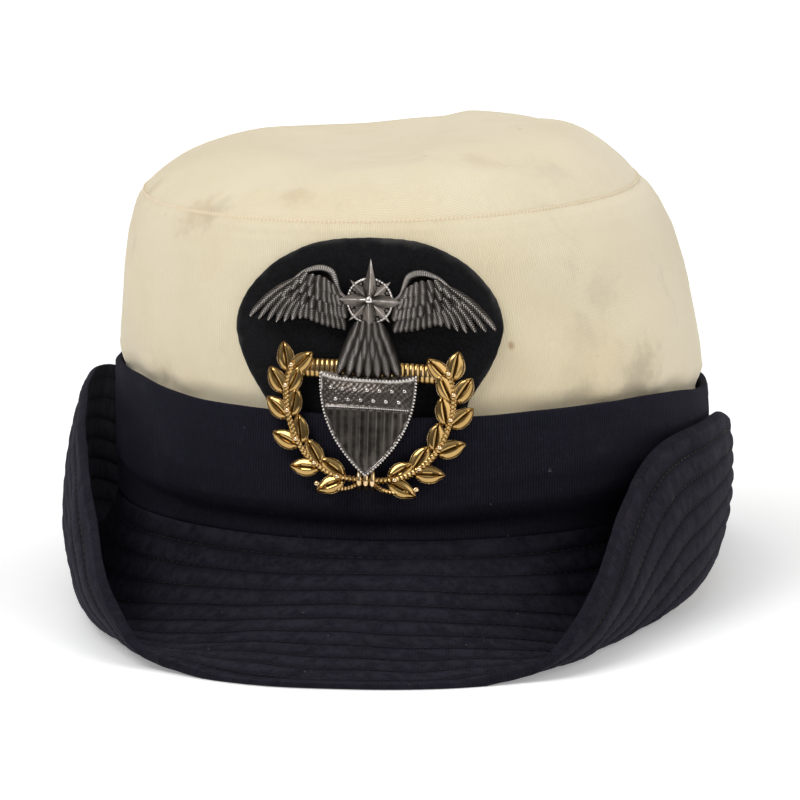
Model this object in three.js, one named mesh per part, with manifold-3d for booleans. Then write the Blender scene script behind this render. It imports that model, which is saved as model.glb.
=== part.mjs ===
// A soft-crowned officer's hat: a cream bucket crown, a navy band, and a stitched navy brim
// that is turned down in front and behind and rolled up at both sides. A metal badge stands
// on a felt backing at the front.
//
// Millimetres, +Z up. The wearer faces -Y and the wearer's left is +X. The surface that the
// brim stands on is z = 0. Angles go round the head oval: 0 at the front, 90 at +X, 180 behind.

import * as THREE from 'three';
import { mergeVertices } from 'three/addons/utils/BufferGeometryUtils.js';
import Module from 'manifold-3d';

const wasm = await Module();
wasm.setup();

// ---------------------------------------------------------------- driving dimensions

const headHalfWidth = 83;      // outer face of the band where it meets the brim
const headHalfLength = 101;
const headShift = 0.8;         // the head oval's centre lies left of the hat's middle line
const seamHeight = 27;         // height of the brim's seam above the table
const fitGap = 0.3;            // clearance left between neighbouring pieces

const brimThick = 2.6;
const bandThick = 2.0;
const crownThick = 1.6;
const backingThick = 2.0;

const tipCentreX = -4.9;       // the crown's top seam leans towards the wearer's right
const tipHalfWidth = 69.7;
const tipHalfLength = 88;
const tipSeamFront = 109.2;
const tipSeamSide = 0.9;       // rise of the top seam from the middle to the wearer's left
const tipSeamBack = 116.5;
const tipRise = 14.4;          // height of the dome above its seam
const tipFullness = 5.2;       // how square the dome's shoulders are
const dentDepth = 2.4;         // hollow that runs from front to back along the dome
const dentWidth = 22;
const dentX = -12;

const backingCentreX = -1.1;
const backingFoot = 46;        // lower end of the backing, behind the band
const badgeCentreX = 0.25;
const badgeHeight = 72;        // centre of the badge above the table
const badgeBackY = -102.45;    // back plane of the badge at that height
const badgeLean = 12.5;        // degrees, top towards the wearer
const badgeTilt = -2.6;        // degrees, the wearer's left side lower
const badgeSkew = 0.042;       // how far the lower part hangs to the left, for each mm down
const badgeBend = 82;          // radius that the badge is curved to, round the forehead
const postRadius = 1.7;
const postLength = 11.85;      // from the badge's back plane into the crown
const nutRadius = 7;
const nutThick = 3;
const nutBack = -10.95;        // inner face of the nut, from the badge's back plane

// The head oval's centre, measured from the middle of the hat's outer box.
const headCentre = new THREE.Vector3(2.6, 6.5, 0);

const aroundSteps = 64;        // facets round the hat
const up = new THREE.Vector3(0, 0, 1);
const radians = THREE.MathUtils.degToRad;

// ---------------------------------------------------------------- tables round the hat

// Reads a named column of a table whose first column is the angle, with a smooth curve
// through the rows that closes on itself after a full turn.
function tableByAngle(columns, rows) {
  const count = rows.length;
  const row = (index) => rows[((index % count) + count) % count];
  const angleOf = (index) => row(index)[0] + 360 * Math.floor(index / count);
  return (name, angle) => {
    const column = columns.indexOf(name);
    const turned = THREE.MathUtils.euclideanModulo(angle - angleOf(0), 360) + angleOf(0);
    let index = 0;
    while (angleOf(index + 1) <= turned) index += 1;
    const value = (step) => row(index + step)[column];
    const span = angleOf(index + 1) - angleOf(index);
    const slope = (step) =>
      (value(step + 1) - value(step - 1)) / (angleOf(index + step + 1) - angleOf(index + step - 1));
    const part = (turned - angleOf(index)) / span;
    const rise = part * part * (3 - 2 * part);
    return value(0) * (1 - rise) + value(1) * rise
      + slope(0) * span * part * (1 - part) ** 2
      - slope(1) * span * part * part * (1 - part);
  };
}

// Straight lines between the points of a short list of [at, value].
function between(points, at) {
  const last = points.length - 1;
  if (at <= points[0][0]) return points[0][1];
  for (let index = 1; index <= last; index += 1) {
    const [start, low] = points[index - 1];
    const [end, high] = points[index];
    if (at <= end) return low + ((high - low) * (at - start)) / (end - start);
  }
  return points[last][1];
}

// edge: the brim's free edge. belly: how far out of the seam the roll's middle lies, and its
// height. slope: the brim's angle there. pull: how straight the profile runs through it.
const brimTable = tableByAngle(
  ['angle', 'edgeX', 'edgeY', 'edgeZ', 'bellyOut', 'bellyZ', 'slope', 'pull'],
  [
    [-155, -38, 138, 0.5, 23, 9.5, -14, 50],
    [-135, -68, 116, 14, 20, 8, 15, 46],
    [-120, -83, 88, 33, 16, 9, 50, 42],
    [-105, -90, 48, 49, 13.5, 14, 68, 42],
    [-90, -91, 10, 54.8, 12, 17, 72, 42],
    [-75, -87, -30, 54, 12, 12, 71, 42],
    [-60, -81, -66, 44.5, 15.5, 5.8, 64, 41],
    [-48, -74.2, -92.5, 31, 22, 4, 41, 45],
    [-38, -65.2, -121.5, 16, 29.4, 2.7, 19, 48],
    [-26, -51.8, -139.5, 5.2, 33.8, 2.7, -4, 55],
    [-13, -26.5, -155.4, 1.2, 32.5, 8, -18, 62],
    [0, 0, -159, 0.6, 32.5, 8.8, -22, 64],
    [13, 26.5, -155, 1.5, 34, 6.6, -20, 63],
    [26, 50, -140.8, 6.4, 33.6, 2.7, -3, 54],
    [38, 60.2, -120.4, 18.8, 23.6, 3.3, 22, 50.5],
    [48, 65.1, -93.6, 33.1, 15, 4.3, 42, 45.5],
    [60, 72.1, -67, 44, 9.4, 6.7, 60, 41.5],
    [75, 83.7, -30, 46.8, 5, 10, 70, 42],
    [90, 87.4, 8, 44.4, 3.8, 13, 73, 40],
    [105, 87.8, 45, 37.2, 6.8, 12, 62, 40],
    [120, 81, 86, 26, 15, 8, 42, 42],
    [135, 67, 115, 13, 20, 8, 10, 46],
    [155, 38, 138, 0.2, 23, 9.5, -14, 50],
    [180, 0, 146, -1.6, 23, 11, -20, 52],
  ],
);

// top: height of the band's upper edge. swell: how far the band stands out of its seam.
// crownSwell: how far the crown blouses out between the band and its top seam.
const wallTable = tableByAngle(
  ['angle', 'top', 'swell', 'crownSwell'],
  [
    [-135, 62.0, 1.8, 3.6],
    [-90, 63.0, 0.4, 3.0],
    [-60, 63.8, 1.6, 3.0],
    [-35, 61.2, 3.6, 3.4],
    [-15, 60.4, 3.8, 2.6],
    [15, 59.4, 3.8, 2.6],
    [35, 60.0, 3.6, 4.2],
    [60, 59.6, 2.6, 6.0],
    [90, 55.6, 1.7, 6.4],
    [135, 57.5, 2.2, 5.0],
    [180, 60.0, 2.6, 4.0],
  ],
);

// ---------------------------------------------------------------- closed meshes

// A closed mesh from points and triangles, with its faces turned outward.
function closedGeometry(points, triangles) {
  let volume = 0;
  for (const [a, b, c] of triangles) {
    volume += points[a].dot(points[b].clone().cross(points[c])) / 6;
  }
  const ordered = volume > 0 ? triangles : triangles.map(([a, b, c]) => [a, c, b]);
  const geometry = new THREE.BufferGeometry();
  geometry.setAttribute('position', new THREE.Float32BufferAttribute(
    points.flatMap((point) => point.toArray()), 3));
  geometry.setIndex(ordered.flat());
  geometry.computeVertexNormals();
  return geometry;
}

// Joins neighbouring rows of points with two triangles for each cell.
function cells(rowCount, rowLength, closedRows, closedColumns) {
  const triangles = [];
  for (let i = 0; i < (closedRows ? rowCount : rowCount - 1); i += 1) {
    for (let j = 0; j < (closedColumns ? rowLength : rowLength - 1); j += 1) {
      const here = i * rowLength;
      const next = ((i + 1) % rowCount) * rowLength;
      const right = (j + 1) % rowLength;
      triangles.push([here + j, next + j, next + right]);
      triangles.push([here + j, next + right, here + right]);
    }
  }
  return triangles;
}

// Sweeps a closed section, given for each angle, all the way round the hat.
function sweptRing(section) {
  const points = [];
  for (let step = 0; step < aroundSteps; step += 1) {
    points.push(...section((360 * step) / aroundSteps));
  }
  const length = points.length / aroundSteps;
  return closedGeometry(points, cells(aroundSteps, length, true, true));
}

// Sweeps an open section round the hat and closes it with a fan at each end.
function sweptCap(section, firstPole, lastPole) {
  const points = [];
  for (let step = 0; step < aroundSteps; step += 1) {
    points.push(...section((360 * step) / aroundSteps));
  }
  const length = points.length / aroundSteps;
  const triangles = cells(aroundSteps, length, true, false);
  const first = points.push(firstPole) - 1;
  const last = points.push(lastPole) - 1;
  for (let step = 0; step < aroundSteps; step += 1) {
    const here = step * length;
    const next = ((step + 1) % aroundSteps) * length;
    triangles.push([first, next, here]);
    triangles.push([last, here + length - 1, next + length - 1]);
  }
  return closedGeometry(points, triangles);
}

function toSolid(geometry) {
  const bare = new THREE.BufferGeometry();
  const source = geometry.index ? geometry : mergeVertices(geometry);
  bare.setAttribute('position', source.getAttribute('position').clone());
  bare.setIndex([...source.index.array]);
  const merged = mergeVertices(bare, 1e-4);
  return new wasm.Manifold(new wasm.Mesh({
    numProp: 3,
    vertProperties: new Float32Array(merged.getAttribute('position').array),
    triVerts: new Uint32Array(merged.index.array),
  }));
}

function fromSolid(solid) {
  const { vertProperties, triVerts } = solid.getMesh();
  const geometry = new THREE.BufferGeometry();
  geometry.setAttribute('position', new THREE.BufferAttribute(vertProperties, 3));
  geometry.setIndex(new THREE.BufferAttribute(triVerts, 1));
  return geometry;
}

// ---------------------------------------------------------------- surfaces

// A point on the head oval, moved outward by out.
function ovalPoint(angle, out, height) {
  const turn = radians(angle);
  const x = headShift + headHalfWidth * Math.sin(turn);
  const y = -headHalfLength * Math.cos(turn);
  const normal = ovalNormal(angle);
  return new THREE.Vector3(x + out * normal.x, y + out * normal.y, height);
}

function ovalNormal(angle) {
  const turn = radians(angle);
  const normal = new THREE.Vector3(
    Math.sin(turn) / headHalfWidth, -Math.cos(turn) / headHalfLength, 0);
  return normal.normalize();
}

// Upper face of the brim: part runs from 0 at the seam to 1 at the edge. The profile is a
// Bezier curve that passes through the belly of the roll at its half-way point.
function brimPoint(angle, part) {
  const seam = ovalPoint(angle, 0, seamHeight);
  const normal = ovalNormal(angle);
  const edge = new THREE.Vector3(
    brimTable('edgeX', angle), brimTable('edgeY', angle), brimTable('edgeZ', angle));
  const reach = edge.clone().sub(seam).setZ(0);
  const drift = reach.clone().addScaledVector(normal, -reach.dot(normal));
  const belly = seam.clone().addScaledVector(normal, brimTable('bellyOut', angle));
  belly.addScaledVector(drift, 0.45).setZ(brimTable('bellyZ', angle));
  const slope = radians(brimTable('slope', angle));
  const through = normal.clone().multiplyScalar(Math.cos(slope)).addScaledVector(up, Math.sin(slope));
  through.multiplyScalar(brimTable('pull', angle)).add(drift);
  const sum = belly.multiplyScalar(8).sub(seam).sub(edge).divideScalar(3);
  const spread = through.multiplyScalar(4 / 3).sub(edge).add(seam);
  const nearSeam = sum.clone().sub(spread).divideScalar(2);
  const nearEdge = sum.clone().add(spread).divideScalar(2);
  return new THREE.CubicBezierCurve3(seam, nearSeam, nearEdge, edge).getPoint(part);
}

// The direction up or in from a surface given as a function of angle and part.
function surfaceNormal(surface, angle, part) {
  const step = 0.01;
  const low = Math.max(part - step, 0);
  const high = Math.min(part + step, 1);
  const along = surface(angle + 1, part).sub(surface(angle - 1, part));
  const across = surface(angle, high).sub(surface(angle, low));
  return across.cross(along).normalize();
}

function crownTopSeam(angle) {
  const turn = radians(angle);
  const back = (1 - Math.cos(turn)) / 2;
  const height = tipSeamFront + (tipSeamBack - tipSeamFront) * back + tipSeamSide * Math.sin(turn);
  return new THREE.Vector3(
    tipCentreX + tipHalfWidth * Math.sin(turn), -tipHalfLength * Math.cos(turn), height);
}

// How the crown's swell is shared out between the band and the top seam.
const swellShare = [
  [0, 0], [0.04, 0.08], [0.12, 0.6], [0.35, 0.86], [0.6, 1], [0.78, 0.95], [0.9, 0.68], [1, 0],
];
const crownInset = bandThick + fitGap;
const frontSpread = 25;        // degrees

// Height at which the crown leaves the cover of the band.
function crownBase(angle) {
  return wallTable('top', angle) - 1.5;
}

// Outer face of the crown's side: part is 0 where it leaves the band and 1 at the top seam.
// At the front the backing's foot holds the lowest third of it in.
function crownPoint(angle, part) {
  const base = ovalPoint(angle, -crownInset, crownBase(angle));
  const held = 1 - nearFront(angle) * Math.max(0, 1 - 3 * part);
  const swell = wallTable('crownSwell', angle) * between(swellShare, part) * held;
  return base.lerp(crownTopSeam(angle), part).addScaledVector(ovalNormal(angle), swell);
}

// 1 at the front of the hat, fading to 0 beyond the badge.
function nearFront(angle) {
  const fromFront = THREE.MathUtils.euclideanModulo(angle + 180, 360) - 180;
  return Math.exp(-((fromFront / frontSpread) ** 2));
}

// Outer face of the crown's top: part is 0 in the middle and 1 at the seam.
function tipPoint(angle, part) {
  const seam = crownTopSeam(angle);
  const middle = new THREE.Vector3(tipCentreX, 0, (tipSeamFront + tipSeamBack) / 2);
  const point = middle.lerp(seam, part);
  const dome = tipRise * (1 - part ** tipFullness);
  const dent = dentDepth * Math.exp(-(((point.x - dentX) / dentWidth) ** 2)) * (1 - part ** 2);
  return point.setZ(point.z + dome - dent);
}

// Outer face of the band: part is 0 at the brim and 1 at its top edge. A crease runs just
// above the brim, and the band swells out above it.
const bandShape = [[0, 0], [0.12, 0.12], [0.3, 0.8], [0.5, 1], [0.75, 0.9], [1, 0.62]];
const backingRelief = 1.5;     // further swell where the band covers the backing

function bandPoint(angle, part) {
  const low = seamHeight + fitGap;
  const height = low + (wallTable('top', angle) - low) * part;
  const overBacking = backingRelief * nearFront(angle) * THREE.MathUtils.smoothstep(part, 0.3, 0.8);
  const out = wallTable('swell', angle) * between(bandShape, part) + overBacking;
  return ovalPoint(angle, out, height);
}

// ---------------------------------------------------------------- cloth pieces

// Rows across each surface, closer where it bends most.
const brimParts = [0, 0.1, 0.21, 0.33, 0.45, 0.57, 0.69, 0.81, 0.91, 1];
const bandParts = [0, 0.12, 0.3, 0.6, 1];
const crownParts = [0.04, 0.12, 0.38, 0.7, 0.88, 1];
const tipParts = [0.3, 0.58, 0.8, 0.93, 1];

// The brim starts with a flat ledge that the crown and the band stand on.
function brimGeometry() {
  const ledge = [crownThick + crownInset, (crownThick + crownInset) / 2];
  return sweptRing((angle) => {
    const upper = [];
    const lower = [];
    for (const inset of ledge) {
      const point = ovalPoint(angle, -inset, seamHeight);
      upper.push(point);
      lower.push(point.clone().addScaledVector(up, -brimThick));
    }
    for (const part of brimParts) {
      const point = brimPoint(angle, part);
      const normal = surfaceNormal(brimPoint, angle, part);
      if (part === 0) normal.add(up).normalize();
      const below = point.clone().addScaledVector(normal, -brimThick);
      point.setZ(Math.max(point.z, brimThick));
      below.setZ(Math.max(below.z, 0));
      upper.push(point);
      lower.push(below);
    }
    return [...upper, ...lower.reverse()];
  });
}

function bandGeometry() {
  return sweptRing((angle) => {
    const outer = bandParts.map((part) => bandPoint(angle, part));
    const inner = outer.map((point) =>
      point.clone().addScaledVector(ovalNormal(angle), -bandThick));
    return [...outer, ...inner.reverse()];
  });
}

// The crown's outer face from its foot to its top seam, moved outward by out.
function crownFace(angle, out) {
  const face = [
    ovalPoint(angle, -crownInset, seamHeight + fitGap),
    ovalPoint(angle, -crownInset, crownBase(angle)),
    ...crownParts.map((part) => crownPoint(angle, part)),
  ];
  return face.map((point) => point.addScaledVector(ovalNormal(angle), out));
}

function crownSideGeometry() {
  return sweptRing((angle) => {
    const outer = crownFace(angle, 0);
    const inner = outer.map((point) =>
      point.clone().addScaledVector(ovalNormal(angle), -crownThick));
    inner[inner.length - 1].z -= crownThick / 2;
    return [...outer, ...inner.reverse()];
  });
}

function crownTipGeometry() {
  const lift = new THREE.Vector3(0, 0, fitGap);
  const below = (point) => point.clone().addScaledVector(up, -crownThick);
  const outer = (angle, part) => tipPoint(angle, part).add(lift);
  const section = (angle) => {
    const face = tipParts.map((part) => outer(angle, part));
    const underside = face.map(below);
    const rim = face[face.length - 1].clone().addScaledVector(ovalNormal(angle), -crownThick);
    rim.z -= crownThick / 2;
    underside[underside.length - 1] = rim;
    return [...face, ...underside.reverse()];
  };
  const top = outer(0, 0);
  return sweptCap(section, top, below(top));
}

// The felt backing's outline: height above the table and half-width, from the top down.
const backingOutline = [
  [0, 105.4], [8.5, 104.9], [16, 103], [24.8, 98], [31.2, 90.5], [33.8, 83.5], [33.2, 77.5],
  [30.8, 71], [27.8, 65.5], [25.8, 61], [24, backingFoot],
];
const backingMiddle = 78;
const backingSink = 0.8;       // how far the slab starts inside the crown before it is cut

// A point in front of the crown, at a width and a height, moved out of the crown by out.
function beforeCrown(x, height, out) {
  let angle = 0;
  for (let turn = 0; turn < 12; turn += 1) {
    angle += THREE.MathUtils.radToDeg((x - wallAt(angle, height).x) / headHalfWidth);
  }
  return wallAt(angle, height).addScaledVector(ovalNormal(angle), out);
}

function wallAt(angle, height) {
  const base = crownBase(angle);
  if (height <= base) return ovalPoint(angle, -crownInset, height);
  return crownPoint(angle, (height - base) / (crownTopSeam(angle).z - base));
}

// Everything inside the crown's outer face and a fitting gap round it.
function crownRoom() {
  const foot = new THREE.Vector3(0, 0, seamHeight + fitGap);
  const head = new THREE.Vector3(tipCentreX, 0, tipSeamFront);
  return toSolid(sweptCap((angle) => crownFace(angle, fitGap), foot, head));
}

// A slab over the front of the crown, cut back to a close fit with it.
function backingGeometry() {
  const right = new THREE.SplineCurve(backingOutline.map(([x, z]) => new THREE.Vector2(x, z)));
  const half = right.getPoints(15);
  const left = half.slice(1).reverse().map((point) => new THREE.Vector2(-point.x, point.y));
  const bottom = [-10, 10].map((x) => new THREE.Vector2(x, backingFoot));
  const outline = [...half, ...bottom.reverse(), ...left];
  const centre = new THREE.Vector2(0, backingMiddle);
  const rings = [0.35, 0.7, 1];
  const face = (out) => rings.map((ring) => outline.map((point) => {
    const spot = centre.clone().lerp(point, ring);
    return beforeCrown(backingCentreX + spot.x, spot.y, out);
  }));
  const front = face(fitGap + backingThick);
  const back = face(-backingSink).reverse();
  const rows = [...front, ...back];
  const points = rows.flat();
  const triangles = cells(rows.length, outline.length, false, true);
  const pole = (out) => points.push(beforeCrown(backingCentreX, backingMiddle, out)) - 1;
  const frontPole = pole(fitGap + backingThick);
  const backPole = pole(-backingSink);
  const lastRow = (rows.length - 1) * outline.length;
  outline.forEach((_, index) => {
    const next = (index + 1) % outline.length;
    triangles.push([frontPole, index, next]);
    triangles.push([backPole, lastRow + next, lastRow + index]);
  });
  return fromSolid(toSolid(closedGeometry(points, triangles)).subtract(crownRoom()));
}

// ---------------------------------------------------------------- badge

// Badge pieces are drawn flat, x across and y up, with z out of the hat, then curved.
const goldFront = 1.4;
const silverBack = goldFront + fitGap;

function extruded(shape, depth, bevel, curveSegments = 4) {
  const geometry = new THREE.ExtrudeGeometry(shape, {
    depth: depth - 2 * bevel,
    bevelEnabled: bevel > 0,
    bevelThickness: bevel,
    bevelSize: bevel,
    bevelOffset: -bevel,
    bevelSegments: 1,
    curveSegments,
  });
  geometry.translate(0, 0, bevel);
  geometry.deleteAttribute('normal');
  geometry.deleteAttribute('uv');
  return mergeVertices(geometry, 1e-4);
}

function mirroredPoints(points) {
  return points.map(([x, y]) => [-x, y]).reverse();
}

function polygon(points) {
  return new THREE.Shape(points.map(([x, y]) => new THREE.Vector2(x, y)));
}

// The wearer's left wing: its leading edge from the root to the tip, then the feathers' ends.
const wingOutline = [
  [2.5, 19.3], [6, 23.2], [11, 25.7], [16, 25.4], [21, 22.6], [26, 18], [31.8, 11],
  [28.2, 11.4], [27.2, 9.2], [24.4, 10.6], [23, 8.4], [20.4, 10], [18.8, 8],
  [16.4, 9.6], [14.8, 7.8], [12.6, 9.6], [11, 8.2], [8.8, 10.4], [4, 11.8],
];
const covertOutline = [
  [3, 18.2], [7, 22], [11.6, 24.2], [16, 23.8], [20.6, 21], [24.6, 17.2], [19, 16.2],
  [13.5, 15], [9, 13.8], [5, 13.2],
];
const starY = 17.8;
const starReach = 10.8;
const starWaist = 4;

// A compass star: four long points with four shorter ones between them.
function starShape() {
  const radii = [starReach, starWaist, starReach * 0.68, starWaist];
  const corners = [];
  for (let step = 0; step < 16; step += 1) {
    const turn = (Math.PI * step) / 8;
    const radius = radii[step % 4];
    corners.push([radius * Math.sin(turn), starY + radius * Math.cos(turn)]);
  }
  return polygon(corners.reverse());
}

// A short fan of tail feathers joins the star to the shield.
const tailOutline = [[-4.2, 11], [-7, -3], [7, -3], [4.2, 11]];

const shieldDip = 1.6;         // hollow in the middle of the shield's top edge
const shieldSteps = [0, 0.25, 0.42, 0.57, 0.7, 0.81, 0.91];

// A heater shield: hollow across the top, then narrowing ever faster to its point.
function shieldShape(halfWidth, topY, bottomY) {
  const right = shieldSteps.map((down) => [
    halfWidth * (1 - down ** 2.4) ** 0.95,
    topY - (topY - bottomY) * down,
  ]);
  const dip = [[halfWidth * 0.5, topY - shieldDip * 0.75], [0, topY - shieldDip]];
  const left = mirroredPoints([...dip.slice(0, 1).reverse(), ...right]);
  return polygon([[0, bottomY], ...right.reverse(), ...dip, ...left.reverse()].reverse());
}

function silverSolid() {
  const lifted = (geometry, height) => toSolid(geometry.translate(0, 0, height));
  const pieces = [];
  for (const points of [wingOutline, mirroredPoints(wingOutline)]) {
    pieces.push(lifted(extruded(polygon(points), 1.6, 0.4), silverBack));
  }
  for (const points of [covertOutline, mirroredPoints(covertOutline)]) {
    pieces.push(lifted(extruded(polygon(points), 2.5, 0.6), silverBack));
  }
  pieces.push(lifted(extruded(starShape(), 3.4, 0.9), silverBack));
  pieces.push(lifted(extruded(polygon(tailOutline), 2.4, 0.5), silverBack));
  pieces.push(lifted(extruded(shieldShape(12.9, -0.8, -27.8), 3, 0.9), silverBack));
  pieces.push(lifted(extruded(shieldShape(11.4, -2.2, -25.6), 3.7, 0.8), silverBack));
  return pieces.reduce((sum, piece) => sum.add(piece));
}

// Middle line of the wearer's left laurel branch, from the tie at the bottom upward.
const branchLine = new THREE.SplineCurve([
  [0, -28.6], [9, -27.4], [16.8, -21.6], [21, -12.5], [21.8, -4.5], [20, 1.5],
].map(([x, y]) => new THREE.Vector2(x, y)));
const branchHalfWidth = 0.9;
const branchSteps = 10;
const leafPairs = 6;
const leafLength = 8.8;
const leafHalfWidth = 2.5;
const leafBevel = 0.45;
const leafSplay = 0.5;         // radians each way from the branch
const barHalfLength = 20;      // cross bar behind the shield, which the post passes through
const barHalfHeight = 3;
const barFront = 1;
const tieRadius = 2.6;
const tieY = -28.2;

function leafShape() {
  const shape = new THREE.Shape();
  shape.moveTo(0, 0);
  shape.quadraticCurveTo(leafHalfWidth * 2, leafLength * 0.45, 0, leafLength);
  shape.quadraticCurveTo(-leafHalfWidth * 2, leafLength * 0.45, 0, 0);
  return shape;
}

function goldSolid() {
  const pieces = [];
  const strip = branchLine.getPoints(branchSteps);
  const side = (offset) => strip.map((point, index) => {
    const tangent = branchLine.getTangent(index / branchSteps);
    return [point.x - tangent.y * offset, point.y + tangent.x * offset];
  });
  const right = [...side(-branchHalfWidth), ...side(branchHalfWidth).reverse()];
  for (const points of [right, mirroredPoints(right)]) {
    pieces.push(toSolid(extruded(polygon(points), goldFront, 0)));
  }
  for (let pair = 0; pair < leafPairs; pair += 1) {
    const along = (pair + 0.7) / (leafPairs + 0.5);
    const point = branchLine.getPoint(along);
    const tangent = branchLine.getTangent(along);
    const heading = Math.atan2(tangent.y, tangent.x) - Math.PI / 2;
    for (const splay of [-leafSplay, leafSplay]) {
      for (const mirror of [1, -1]) {
        const leaf = extruded(leafShape(), goldFront, leafBevel, 2);
        leaf.rotateZ(mirror * (heading + splay)).translate(mirror * point.x, point.y, 0);
        pieces.push(toSolid(leaf));
      }
    }
  }
  const bar = [
    [-barHalfLength, -barHalfHeight], [barHalfLength, -barHalfHeight],
    [barHalfLength, barHalfHeight], [-barHalfLength, barHalfHeight],
  ];
  pieces.push(toSolid(extruded(polygon(bar), barFront, 0)));
  const tie = new THREE.CylinderGeometry(tieRadius, tieRadius, goldFront, 12);
  pieces.push(toSolid(tie.rotateX(Math.PI / 2).translate(0, tieY, goldFront / 2)));
  const hole = new THREE.CylinderGeometry(postRadius + fitGap, postRadius + fitGap, 8, 16);
  const body = pieces.reduce((sum, piece) => sum.add(piece));
  return body.subtract(toSolid(hole.rotateX(Math.PI / 2)));
}

// Skews a flat piece a little and curves it round the forehead.
function bent(geometry) {
  const position = geometry.getAttribute('position');
  for (let index = 0; index < position.count; index += 1) {
    const x = position.getX(index) - badgeSkew * position.getY(index);
    position.setX(index, x);
    position.setZ(index, position.getZ(index) - (x * x) / (2 * badgeBend));
  }
  return geometry;
}

const badgePlace = new THREE.Group();
badgePlace.position.set(badgeCentreX, badgeBackY, badgeHeight);
badgePlace.rotation.set(Math.PI / 2 - radians(badgeLean), 0, 0);
const badgeTurn = new THREE.Group();
badgeTurn.rotation.z = radians(badgeTilt);
badgePlace.add(badgeTurn);
badgePlace.updateMatrixWorld(true);

// The screw post runs back from the silver piece through everything behind it.
function alongPost(radius, from, to, sides = 16) {
  const rod = new THREE.CylinderGeometry(radius, radius, to - from, sides);
  return rod.rotateX(Math.PI / 2).translate(0, 0, (from + to) / 2);
}

// A clearance hole for the post, in the hat's own frame.
function postHole() {
  const hole = alongPost(postRadius + fitGap, -14, 2);
  return toSolid(hole.applyMatrix4(badgeTurn.matrixWorld));
}

function drilled(geometry) {
  return fromSolid(toSolid(geometry).subtract(postHole()));
}

function silverGeometry() {
  const face = bent(fromSolid(silverSolid()));
  const post = alongPost(postRadius, -postLength, silverBack + 1);
  return fromSolid(toSolid(face).add(toSolid(post)));
}

function nutGeometry() {
  const disc = toSolid(alongPost(nutRadius, nutBack, nutBack + nutThick, 24));
  const bore = toSolid(alongPost(postRadius + fitGap, nutBack - 1, nutBack + nutThick + 1));
  return fromSolid(disc.subtract(bore));
}

// ---------------------------------------------------------------- the hat

const look = (color, roughness, metalness = 0) =>
  new THREE.MeshStandardMaterial({ color, roughness, metalness, side: THREE.FrontSide });

function piece(name, geometry, material) {
  const mesh = new THREE.Mesh(geometry, material);
  mesh.name = name;
  return mesh;
}

const hat = new THREE.Group();
hat.position.copy(headCentre);
hat.add(piece('crown_tip', crownTipGeometry(), look(0xe8dcbe, 0.9)));
hat.add(piece('crown_side', drilled(crownSideGeometry()), look(0xe4d8ba, 0.9)));
hat.add(piece('hat_band', bandGeometry(), look(0x1a1924, 0.92)));
hat.add(piece('brim', brimGeometry(), look(0x1d1c28, 0.92)));
hat.add(piece('badge_backing', drilled(backingGeometry()), look(0x0d0d10, 0.96)));
hat.add(badgePlace);
badgeTurn.add(piece('badge_silver', silverGeometry(), look(0x9a9792, 0.38, 1)));
badgeTurn.add(piece('badge_gold', bent(fromSolid(goldSolid())), look(0xd9a441, 0.28, 1)));
badgeTurn.add(piece('badge_nut', nutGeometry(), look(0xb08d4a, 0.45, 1)));

export default hat;
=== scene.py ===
import bpy
import numpy as np
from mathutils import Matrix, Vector


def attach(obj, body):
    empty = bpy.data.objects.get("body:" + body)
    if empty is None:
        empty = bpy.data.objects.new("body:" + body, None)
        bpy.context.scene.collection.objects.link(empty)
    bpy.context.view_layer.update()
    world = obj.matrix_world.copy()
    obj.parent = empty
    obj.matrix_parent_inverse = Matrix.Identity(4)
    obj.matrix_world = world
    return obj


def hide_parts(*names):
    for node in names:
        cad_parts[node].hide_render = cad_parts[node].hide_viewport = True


# A soft-crowned officer's hat with a rolled brim and a winged badge. Lengths are in millimetres
# from the head oval's centre until a mesh is made, which is in metres in the hat's own frame.
# Angles go round the hat in degrees: 0 in front, 90 at the wearer's left, 180 behind.

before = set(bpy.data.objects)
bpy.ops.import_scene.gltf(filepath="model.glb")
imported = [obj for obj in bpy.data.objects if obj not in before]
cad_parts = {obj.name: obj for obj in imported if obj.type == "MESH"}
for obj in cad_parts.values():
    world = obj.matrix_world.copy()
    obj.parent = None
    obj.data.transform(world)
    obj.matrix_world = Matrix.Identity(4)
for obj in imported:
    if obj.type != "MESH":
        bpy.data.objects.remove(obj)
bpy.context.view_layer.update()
scene = bpy.context.scene
headCentre = np.array([2.6, 6.5, 0.0])
seamPoints = 720  # points round the hat for a line of stitches
rng = np.random.default_rng(7)

# the oval of the head and the height of its seam, the space between pieces, how far inside the band's
# oval the crown stands, and how many degrees the badge's swell reaches either way
head = {
    "halfWidth": 83.0,
    "halfLength": 101.0,
    "shiftX": 0.8,
    "seamHeight": 27.0,
    "gap": 0.3,
    "crownInset": 2.3,
    "frontSpread": 25.0,
}

# angle, band's top, how far the band stands out, how far the crown blouses out
wallRows = np.array([
    [-135, 62.0, 1.8, 3.6],
    [-90, 63.0, 0.4, 3.0],
    [-60, 63.8, 1.6, 3.0],
    [-35, 61.2, 3.6, 3.4],
    [-15, 60.4, 3.8, 2.6],
    [15, 59.4, 3.8, 2.6],
    [35, 60.0, 3.6, 4.2],
    [60, 59.6, 2.6, 6.0],
    [90, 55.6, 1.7, 6.4],
    [135, 57.5, 2.2, 5.0],
    [180, 60.0, 2.6, 4.0],
])

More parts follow.
